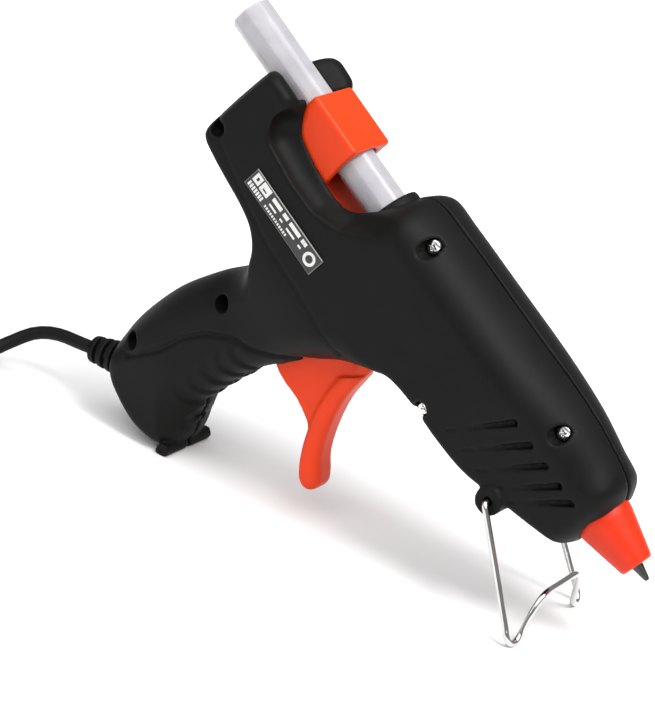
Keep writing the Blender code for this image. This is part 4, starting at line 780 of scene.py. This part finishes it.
def trigger_field(x, y, z):
    """Rounded finger lever, thin web, hub and the forked arm up to the drive pin."""
    across, radius = np.abs(y), disc(x, z, PIVOT[[0, 2]])
    ledge = 0.571 * (z + 42.1) - 0.82 * (x - 76.2)
    flank = across - LEVER_HALF + 1.4 * eased(ledge, -0.3, 0.5)
    solid = rounded([loop_field(x, z, smooth_loop(LEVER, 4)), flank], LEVER_ROUNDING)
    web = soft_max(loop_field(x, z, smooth_loop(WEB, 4)), across - WEB_HALF, 0.6)
    solid = soft_min(solid, web, 1.2)
    solid = soft_min(solid, soft_max(radius - HUB_RADIUS, across - HUB_HALF, 0.4), 0.6)
    run = DRIVE_PIN - PIVOT[[0, 2]]
    length = np.hypot(*run)
    run /= length
    along = (x - PIVOT[0]) * run[0] + (z - PIVOT[2]) * run[1]
    beside = np.abs((x - PIVOT[0]) * run[1] - (z - PIVOT[2]) * run[0])
    arm = within(beside - 3.6, between(along, -1.2, length + 1.2), across - ARM_HALF)
    solid = soft_min(solid, arm, 0.5)
    fork = np.maximum(beside - DRIVE_PIN_RADIUS - GAP, length - 3.0 - along)
    return soft_max(np.maximum(solid, -fork), 2.2 - radius, 0.3)


def trigger():
    """The trigger, from its toe up to the fork round the drive pin."""
    low, high = (49.0, -6.8, -76.5), (98.0, 6.8, -12.0)
    points, quads, bend = field_surface(trigger_field, low, high, 0.42)
    mesh_piece("lever", points, quads, "trigger", TRIGGER_ORANGE, "orange_plastic", ["trigger"],
               worn=bend)


# ---- stand, nozzle, relief
WIRE_RADIUS, STAND_GRIP, STAND_FOOT = 0.9, 7.0, np.array([163.5, 0.0, -34.6])


def stand():
    """One bent wire: ends sprung into the boss, splayed legs, round feet and a raised bridge."""
    length = float(np.linalg.norm(BOSS - STAND_FOOT))
    leg = (BOSS - STAND_FOOT) / length
    ahead = np.array([leg[2], 0.0, -leg[0]])
    side = BOSS_HALF + GAP + WIRE_RADIUS
    half = [(BOSS_HALF - STAND_GRIP, length, 0.0), (BOSS_HALF - 2.0, length, 0.0)]
    half += [(side + out, length - down, 0.0) for out, down in (
        (-0.7, 0.1), (0.0, 1.0), (0.2, 4.0), (1.4, 0.5 * length))]
    half += [(side + out, up, lift) for out, up, lift in (
        (2.8, 5.2, 0.0), (3.2, 2.8, 0.0), (2.6, 0.8, 0.0), (1.1, 0.0, 0.1), (-0.7, 0.2, 0.4),
        (-2.1, 1.6, 1.3), (-3.1, 4.0, 2.9), (-4.3, 6.8, 4.9), (-6.2, 9.4, 6.8), (-8.6, 10.5, 7.6),
        (-10.8, 10.7, 7.7))] + [(0.0, 10.7, 7.7)]
    spots = np.array([STAND_FOOT + leg * up + ahead * lift - (0.0, y, 0.0) for y, up, lift in half])
    mirrored = spots[-2::-1] * (1.0, -1.0, 1.0)
    path = even(catmull(np.concatenate([spots, mirrored]), 8), 0.8)
    mesh_piece("bent_wire", *tube(path, WIRE_RADIUS, 20), "stand", CHROME, "bright_steel",
               ["stand_wire"], 60.0)


TURNED = [
    ("cone", "orange_silicone", "nozzle_sleeve", 72, [
        (143.0, 5.5), (143.0, 7.95, 0.3), (151.2, 7.95, 1.2), (164.9, 4.75, 0.5),
        (165.4, 4.2, 0.4), (165.4, 2.15, 0.2), (164.4, 3.5, 0.2), (150.0, 5.1)]),
    ("tip", "dark_steel", "nozzle", 48, [
        (118.5, 1.6), (118.5, 3.0, 0.2), (128.3, 3.0), (128.3, 6.2, 0.3), (132.8, 6.2, 0.3),
        (132.8, 5.2), (150.0, 4.8), (164.2, 3.2, 0.2), (164.8, 1.75, 0.2), (169.6, 0.75, 0.3),
        (170.0, 0.5, 0.05), (170.0, 0.3), (160.0, 0.5), (150.0, 1.6)]),
    ("inlet", "black_silicone", "feed_sleeve", 72, [
        (49.5, 7.0), (49.5, 8.5, 0.3), (50.3, 8.8, 0.4), (53.3, 8.8, 0.2), (53.3, 7.7),
        (69.0, 7.7), (70.5, 8.6), (78.0, 8.6), (78.0, 7.3), (69.7, 7.3), (69.7, 6.6),
        (51.0, 6.6, 0.5)])]


def nozzle_parts():
    """The silicone cone with a soft shoulder and rim, the steel tip that stands out of it, and
    the inlet's collar."""
    finishes = SILICONE, DARK_STEEL, RUBBER
    for (name, slot, cad_node, sides, corners), finish in zip(TURNED, finishes):
        points, faces = turned(rounded_profile(corners), sides)
        mesh_piece(name, points, faces, "housing", finish, slot, [cad_node], 50.0)


RIB_PITCH, RIBS_END, LEAD_BORE = 3.3, 9.6, 2.25


def relief_field(x, y, z):
    """The boot along x: a tapering ribbed cone, each rib cut by slots on alternate sides."""
    radius = np.hypot(y, z)
    share = (x + 0.3) / RIB_PITCH
    phase = share - np.floor(share)
    rib = eased(phase, 0.55, 0.7) * (1.0 - eased(phase, 0.92, 1.0))
    solid = np.maximum((radius - 5.0 + 0.12 * x + 1.45 * rib) * 0.8, between(x, -0.6, RIBS_END))
    turn = np.arctan2(z, y) + 1.3 * np.floor(share)
    cut = within(np.abs(np.sin(turn)) * radius - 0.7, 3.1 - radius,
                 np.abs(phase - 0.74) * RIB_PITCH - 1.0)
    neck = np.maximum(radius - 3.6, between(x, -10.0, 0.5))
    flange = np.maximum(radius - 5.2, between(x, -10.0, -8.1))
    solid = soft_min(soft_max(solid, -cut, 0.3), np.minimum(neck, flange), 0.4)
    return soft_max(solid, LEAD_BORE - radius, 0.3)


def relief():
    """The boot, its mouth toward the lead."""
    low, high = (-10.5, -5.6, -5.6), (12.4, 5.6, 5.6)
    points, quads, bend = field_surface(relief_field, low, high, 0.28)
    axes = np.array([LEAD_RUN, (0.0, 1.0, 0.0), (-LEAD_RUN[2], 0.0, LEAD_RUN[0])])
    mesh_piece("boot", RELIEF_MOUTH + points @ axes, quads, "housing", RUBBER, "black_silicone",
               ["strain_relief"], worn=bend)


# ---- label, screws, plug
LABEL_X, LABEL_Z, LABEL_ROWS, LABEL_COLUMNS = (21.0, 52.0), (-21.5, -15.2), 90, 24
LABEL_FLOAT, LABEL_THICK = 0.29, 0.3


def label():
    """A thin plate laid on the right side: rows along its length, columns over its height. Its
    outer face is the side lifted by the gap and, inside the rim, the thickness."""
    rows, columns = LABEL_ROWS, LABEL_COLUMNS
    xs, zs = np.linspace(*LABEL_X, rows), np.linspace(*LABEL_Z, columns)
    x, z = np.meshgrid(xs, zs, indexing="ij")
    rim = -np.maximum(between(x, *LABEL_X), between(z, *LABEL_Z))
    side = side_at(x, z)
    outer, inner = (np.stack([x, -(side + lift), z], axis=2).reshape(-1, 3) for lift in (
        GAP + LABEL_THICK * eased(rim, -0.1, 0.3), LABEL_FLOAT))
    quads = grid_faces(rows, columns)
    edge = np.concatenate([np.arange(columns), np.arange(1, rows) * columns + columns - 1,
                           (rows - 1) * columns + np.arange(columns - 2, -1, -1),
                           np.arange(rows - 2, 0, -1) * columns])
    after = np.roll(edge, -1)
    wall = np.stack([edge, after, after + len(outer), edge + len(outer)], axis=1)
    faces = np.concatenate([quads[:, ::-1], quads + len(outer), wall])
    made = mesh_piece("rating_plate", np.concatenate([outer, inner]), faces, "housing", LABEL,
                      "label_print", ["rating_label"], 60.0)
    flat = np.stack([(x - xs[0]) / np.ptp(xs), (z - zs[0]) / np.ptp(zs)], axis=2).reshape(-1, 2)
    layer = made.data.uv_layers.new(name="plate")
    corners = np.empty(len(made.data.loops), np.int32)
    made.data.loops.foreach_get("vertex_index", corners)
    layer.data.foreach_set("uv", flat[corners % len(outer)].astype(np.float32).ravel())


def screw_field(x, y, z):
    """A pan head with its crown at y = 0, a cross recess in it, and the shank under it."""
    radius = np.hypot(x, z)
    crown = np.hypot(radius, np.maximum(0.62 - y, 0.0) * 3.298)
    head = np.maximum(crown - SCREW_HEAD, y - SCREW_HEAD_HIGH)
    wide, deep = np.maximum(np.abs(x), np.abs(z)) - 1.15, np.minimum(np.abs(x), np.abs(z)) - 0.27
    recess = within(wide, deep, y - 0.95 + 0.35 * radius)
    shank = within(radius - 1.0, between(y, 1.2, 7.0))
    return soft_min(soft_max(head, -recess, 0.12), shank, 0.1)


def screws():
    """One screw, turned a little further in each well."""
    points, quads, bend = field_surface(screw_field, (-2.2, -0.2, -2.2), (2.2, 7.2, 2.2), 0.16)
    for number, (x, z, deep) in enumerate(SCREWS, start=1):
        seat = float(side_at(x, z)) - deep
        c, s = math.cos(0.5 * number), math.sin(0.5 * number)
        spun = points @ [[c, 0.0, s], [0.0, 1.0, 0.0], [-s, 0.0, c]]
        mesh_piece(f"screw_{number}", spun + (x, -seat - SCREW_HEAD_HIGH - GAP, z), quads,
                   "housing", BRIGHT, "bright_steel", [f"housing_screw_{number}"], 40.0, bend)


PLUG_AT, PLUG_LENGTH, PLUG_MIDDLE = np.array([-154.0, -20.0, 12.5]), 34.0, 6.2
RIDGE_PITCH, PIN_SPREAD, PIN_RADIUS = 2.6, 9.5, 2.0


def plug_field(x, y, z):
    """The flat plug along x from its tail: its half width grows from the tail to the shoulders,
    with grip ridges across the sides, a slotted tail and round edges everywhere."""
    half, high = 3.9 + 9.3 * eased(x, 9.0, 23.0), 3.4 + 2.7 * eased(x, 4.0, 14.0)
    ridge = 0.35 * np.maximum(np.cos(x * 2.0 * np.pi / RIDGE_PITCH), 0.0)
    ridge = ridge * eased(x, 13.0, 15.0) * (1.0 - eased(x, 26.0, 28.0))
    up, soft = z - PLUG_MIDDLE, 2.6
    out = [between(x, 0.0, PLUG_LENGTH) + 1.4, np.abs(y) - half + soft + ridge,
           np.abs(up) - high + soft]
    size = np.sqrt(sum(np.maximum(field * scale, 0.0) ** 2 for field, scale in
                       zip(out, (1.8, 1.0, 1.0))))
    body = size + np.minimum(within(*out), 0.0) - soft
    core = np.hypot(y, up)
    slots = within(np.abs(np.mod(x - 1.4, RIDGE_PITCH) - 0.7) - 0.45, 3.1 - core, x - 8.6)
    pins = np.hypot(np.abs(y) - PIN_SPREAD, up) - PIN_RADIUS - GAP
    body = soft_max(soft_max(body, -slots, 0.4), -np.maximum(pins, PLUG_LENGTH - 5.0 - x), 0.3)
    return soft_max(body, -np.maximum(core - 2.05, x - 5.0), 0.2)


def plug():
    """The plug on top of the coil, with its two pins."""
    low, high = (-0.2, -14.0, -0.3), (34.3, 14.0, 12.7)
    points, quads, bend = field_surface(plug_field, low, high, 0.42)
    world_piece("plug", (PLUG_AT + points * (-1.0, -1.0, 1.0)) / 1000.0, quads, "housing", RUBBER,
                "black_silicone", ["plug_body"], worn=bend)
    shape = rounded_profile([(-4.7, 0.0), (-4.7, PIN_RADIUS, 0.1), (9.0, PIN_RADIUS), (9.2, 1.95),
                             (18.0, 1.95, 0.9), (19.0, 1.0, 0.6), (19.0, 0.0)])
    for side, tag in ((1.0, "right"), (-1.0, "left")):
        at = PLUG_AT + (-PLUG_LENGTH, side * PIN_SPREAD, PLUG_MIDDLE)
        points, faces = turned(shape, 40, at, (-1.0, 0.0, 0.0))
        world_piece(f"pin_{tag}", points / 1000.0, faces, "housing", PIN, "brass",
                    [f"plug_pin_{tag}"], 40.0)


# ---- finishes
def moulded(name, colour, edge, roughness, grain, depth, mottle=0.12, gloss=0.1, **more):
    """Spark-eroded plastic: fine grain in the normal, cloudy gloss, lighter polished edges."""
    paint = Paint(name, colour, roughness, Specular_IOR_Level=gloss, **more)
    cloud = paint.noise(90.0, 3.0, 0.55)
    worn = paint.node("ShaderNodeAttribute", {"attribute_name": "worn"}, out="Fac").ramp(0.5, 1.6)
    rub = worn * (paint.noise(260.0).ramp(0.35, 0.75) * 0.6 + 0.4)
    pale = tuple(c * 1.35 + 0.001 for c in colour)
    base = paint.mix(cloud.ramp(0.3, 0.7) * mottle * 4.0, paint.mix(rub, colour, edge), pale)
    paint.set(Base_Color=base, Normal=paint.bump(paint.noise(grain, 3.0, 0.6), depth, 0.5),
              Roughness=cloud * 0.12 + (roughness - 0.06) - rub * 0.1)
    return paint


def metal(name, colour, roughness, streak, spread):
    """Bare metal: gloss that varies with fine lines and soft stains."""
    paint = Paint(name, colour, roughness, 1.0)
    lines, stain = paint.noise(streak), paint.noise(60.0, 3.0, 0.6)
    base = paint.mix(stain.ramp(0.35, 0.8), colour, tuple(c * 0.86 for c in colour))
    paint.set(Base_Color=base, Normal=paint.bump(lines, 0.00002, 0.25),
              Roughness=lines * spread + stain * spread + roughness - spread * 0.9)
    return paint


HOUSING = moulded("housing_plastic", (0.0040, 0.0041, 0.0039), (0.0065, 0.0065, 0.0065), 0.5,
                  5200.0, 0.00006)
SOFT_LIGHT = {"Subsurface_Weight": 0.05, "Subsurface_Scale": 0.001}
ORANGE = moulded("orange_plastic", (0.62, 0.040, 0.004), (0.74, 0.10, 0.025), 0.38, 3000.0,
                 0.00002, 0.04, 0.2, **SOFT_LIGHT)
TRIGGER_ORANGE = moulded("trigger_plastic", (0.68, 0.040, 0.004), (0.78, 0.10, 0.03), 0.4, 2600.0,
                         0.00003, 0.04, 0.2, **SOFT_LIGHT)
SILICONE = moulded("orange_silicone", (0.54, 0.022, 0.002), (0.62, 0.05, 0.012), 0.4, 1600.0,
                   0.00005, 0.08, 0.25)
RUBBER = moulded("black_rubber", (0.0048, 0.0048, 0.005), (0.014, 0.014, 0.014), 0.52, 2400.0,
                 0.00006)
LEAD = moulded("lead_sheath", (0.0055, 0.0055, 0.0057), (0.012, 0.012, 0.012), 0.42, 1400.0,
               0.00003)
CERAMIC = moulded("ceramic", (0.72, 0.7, 0.64), (0.8, 0.78, 0.74), 0.6, 3000.0, 0.00004)
INSULATION = moulded("wire_insulation", (0.55, 0.56, 0.54), (0.6, 0.6, 0.6), 0.45, 1500.0,
                     0.00003)
CHROME = metal("chromed_wire", (0.62, 0.615, 0.61), 0.1, 900.0, 0.04)
BRIGHT = metal("zinc_steel", (0.78, 0.77, 0.75), 0.16, 1500.0, 0.08)
DARK_STEEL = metal("dark_steel", (0.07, 0.065, 0.062), 0.36, 700.0, 0.12)
ALUMINIUM = metal("cast_aluminium", (0.62, 0.62, 0.63), 0.42, 500.0, 0.14)
BRASS = metal("tinned_brass", (0.78, 0.6, 0.32), 0.26, 800.0, 0.1)
PIN = metal("plated_pin", (0.8, 0.79, 0.76), 0.16, 900.0, 0.06)


def glue_paint():
    """Hot-melt glue: milky and translucent, a little cloudy."""
    paint = Paint("hot_melt_glue", (0.42, 0.41, 0.43), 0.3, IOR=1.48, Subsurface_Weight=0.7,
                  Subsurface_Radius=(1.0, 0.95, 1.0), Subsurface_Scale=0.004,
                  Transmission_Weight=0.12)
    cloud = paint.noise(120.0, 3.0, 0.55)
    base = paint.mix(cloud.ramp(0.35, 0.7), (0.45, 0.44, 0.46), (0.38, 0.37, 0.40))
    return paint.set(Base_Color=base, Roughness=cloud * 0.12 + 0.24,
                     Normal=paint.bump(paint.noise(420.0), 0.00002, 0.2))


def label_paint():
    """Generic print on the plate: silver blocks, bars and a ring on black, none of them a sign."""
    paint = Paint("label_print", (0.012, 0.012, 0.012), 0.35)
    plate = paint.node("ShaderNodeUVMap", {"uv_map": "plate"})
    along = paint.node("ShaderNodeSeparateXYZ", None, plate)
    up = Signal(paint, along.socket.node.outputs[1])

    def block(x0, x1, y0, y1):
        return (along.over(x0) * along.under(x1)) * (up.over(y0) * up.under(y1))

    blocks = [(0.03, 0.115, 0.46, 0.92), (0.13, 0.245, 0.46, 0.92)]
    blocks += [(0.03 + 0.03 * k, 0.05 + 0.03 * k, 0.12, 0.36) for k in range(7)]
    for start, end in ((0.29, 0.42), (0.45, 0.52), (0.55, 0.7), (0.73, 0.8)):
        blocks += [(start, end, 0.66, 0.86), (start + 0.01, end - 0.02, 0.4, 0.5)]
    blocks += [(0.28 + 0.028 * k, 0.297 + 0.028 * k, 0.14, 0.26) for k in range(12)]
    marks = block(*blocks[0])
    for spot in blocks[1:]:
        marks = marks.top(block(*spot))
    from_ring = paint.node("ShaderNodeVectorMath", {"operation": "SUBTRACT"}, plate,
                           (0.9, 0.5, 0.0))
    from_ring = paint.node("ShaderNodeVectorMath", {"operation": "MULTIPLY"}, from_ring,
                           (5.0, 1.0, 0.0))
    size = paint.node("ShaderNodeVectorMath", {"operation": "LENGTH"}, from_ring, out="Value")
    holes = block(0.06, 0.085, 0.6, 0.78).top(block(0.16, 0.215, 0.58, 0.66))
    marks = marks.top(abs(size - 0.26).under(0.07)) - holes
    border = abs(along - 0.5).over(0.493).top(abs(up - 0.5).over(0.46))
    scuff = paint.noise(700.0, 3.0, 0.6)
    ink = (marks * (scuff.ramp(0.2, 0.5) * 0.3 + 0.7)).top(border * 0.25)
    return paint.set(Base_Color=paint.mix(ink, (0.013, 0.013, 0.013), (0.62, 0.62, 0.6)),
                     Roughness=scuff * 0.15 + 0.3, Metallic=ink * 0.3,
                     Normal=paint.bump(scuff, 0.00002, 0.3))


GLUE, LABEL = glue_paint(), label_paint()
CAD_FINISHES = [
    (BRIGHT, ["sleeve_clamp", "heater_clamp", "grip_plate", "drive_pin", "trigger_pivot_pin",
              "return_spring", "clamp_screw_1", "clamp_screw_2"]),
    (INSULATION, ["heater_lead_live", "heater_lead_neutral", "cord_core_live",
                  "cord_core_neutral"]),
    (BRASS, ["crimp_live", "crimp_neutral"]), (ALUMINIUM, ["melting_chamber"]),
    (CERAMIC, ["ptc_heater"]), (RUBBER, ["cord_clamp"])]


def finish_cad_nodes():
    """The inner pieces, which are shown as they are, get their finishes."""
    for paint, names in CAD_FINISHES:
        for name in names:
            materials = frame["nodes"][name].data.materials
            materials.clear()
            materials.append(paint.material)


# ---- the whole gun
camera()
studio()
plug()
mains_lead()
housing_shells()
carriage()
trigger()
glue_stick()
stand()
nozzle_parts()
relief()
label()
screws()
finish_cad_nodes()
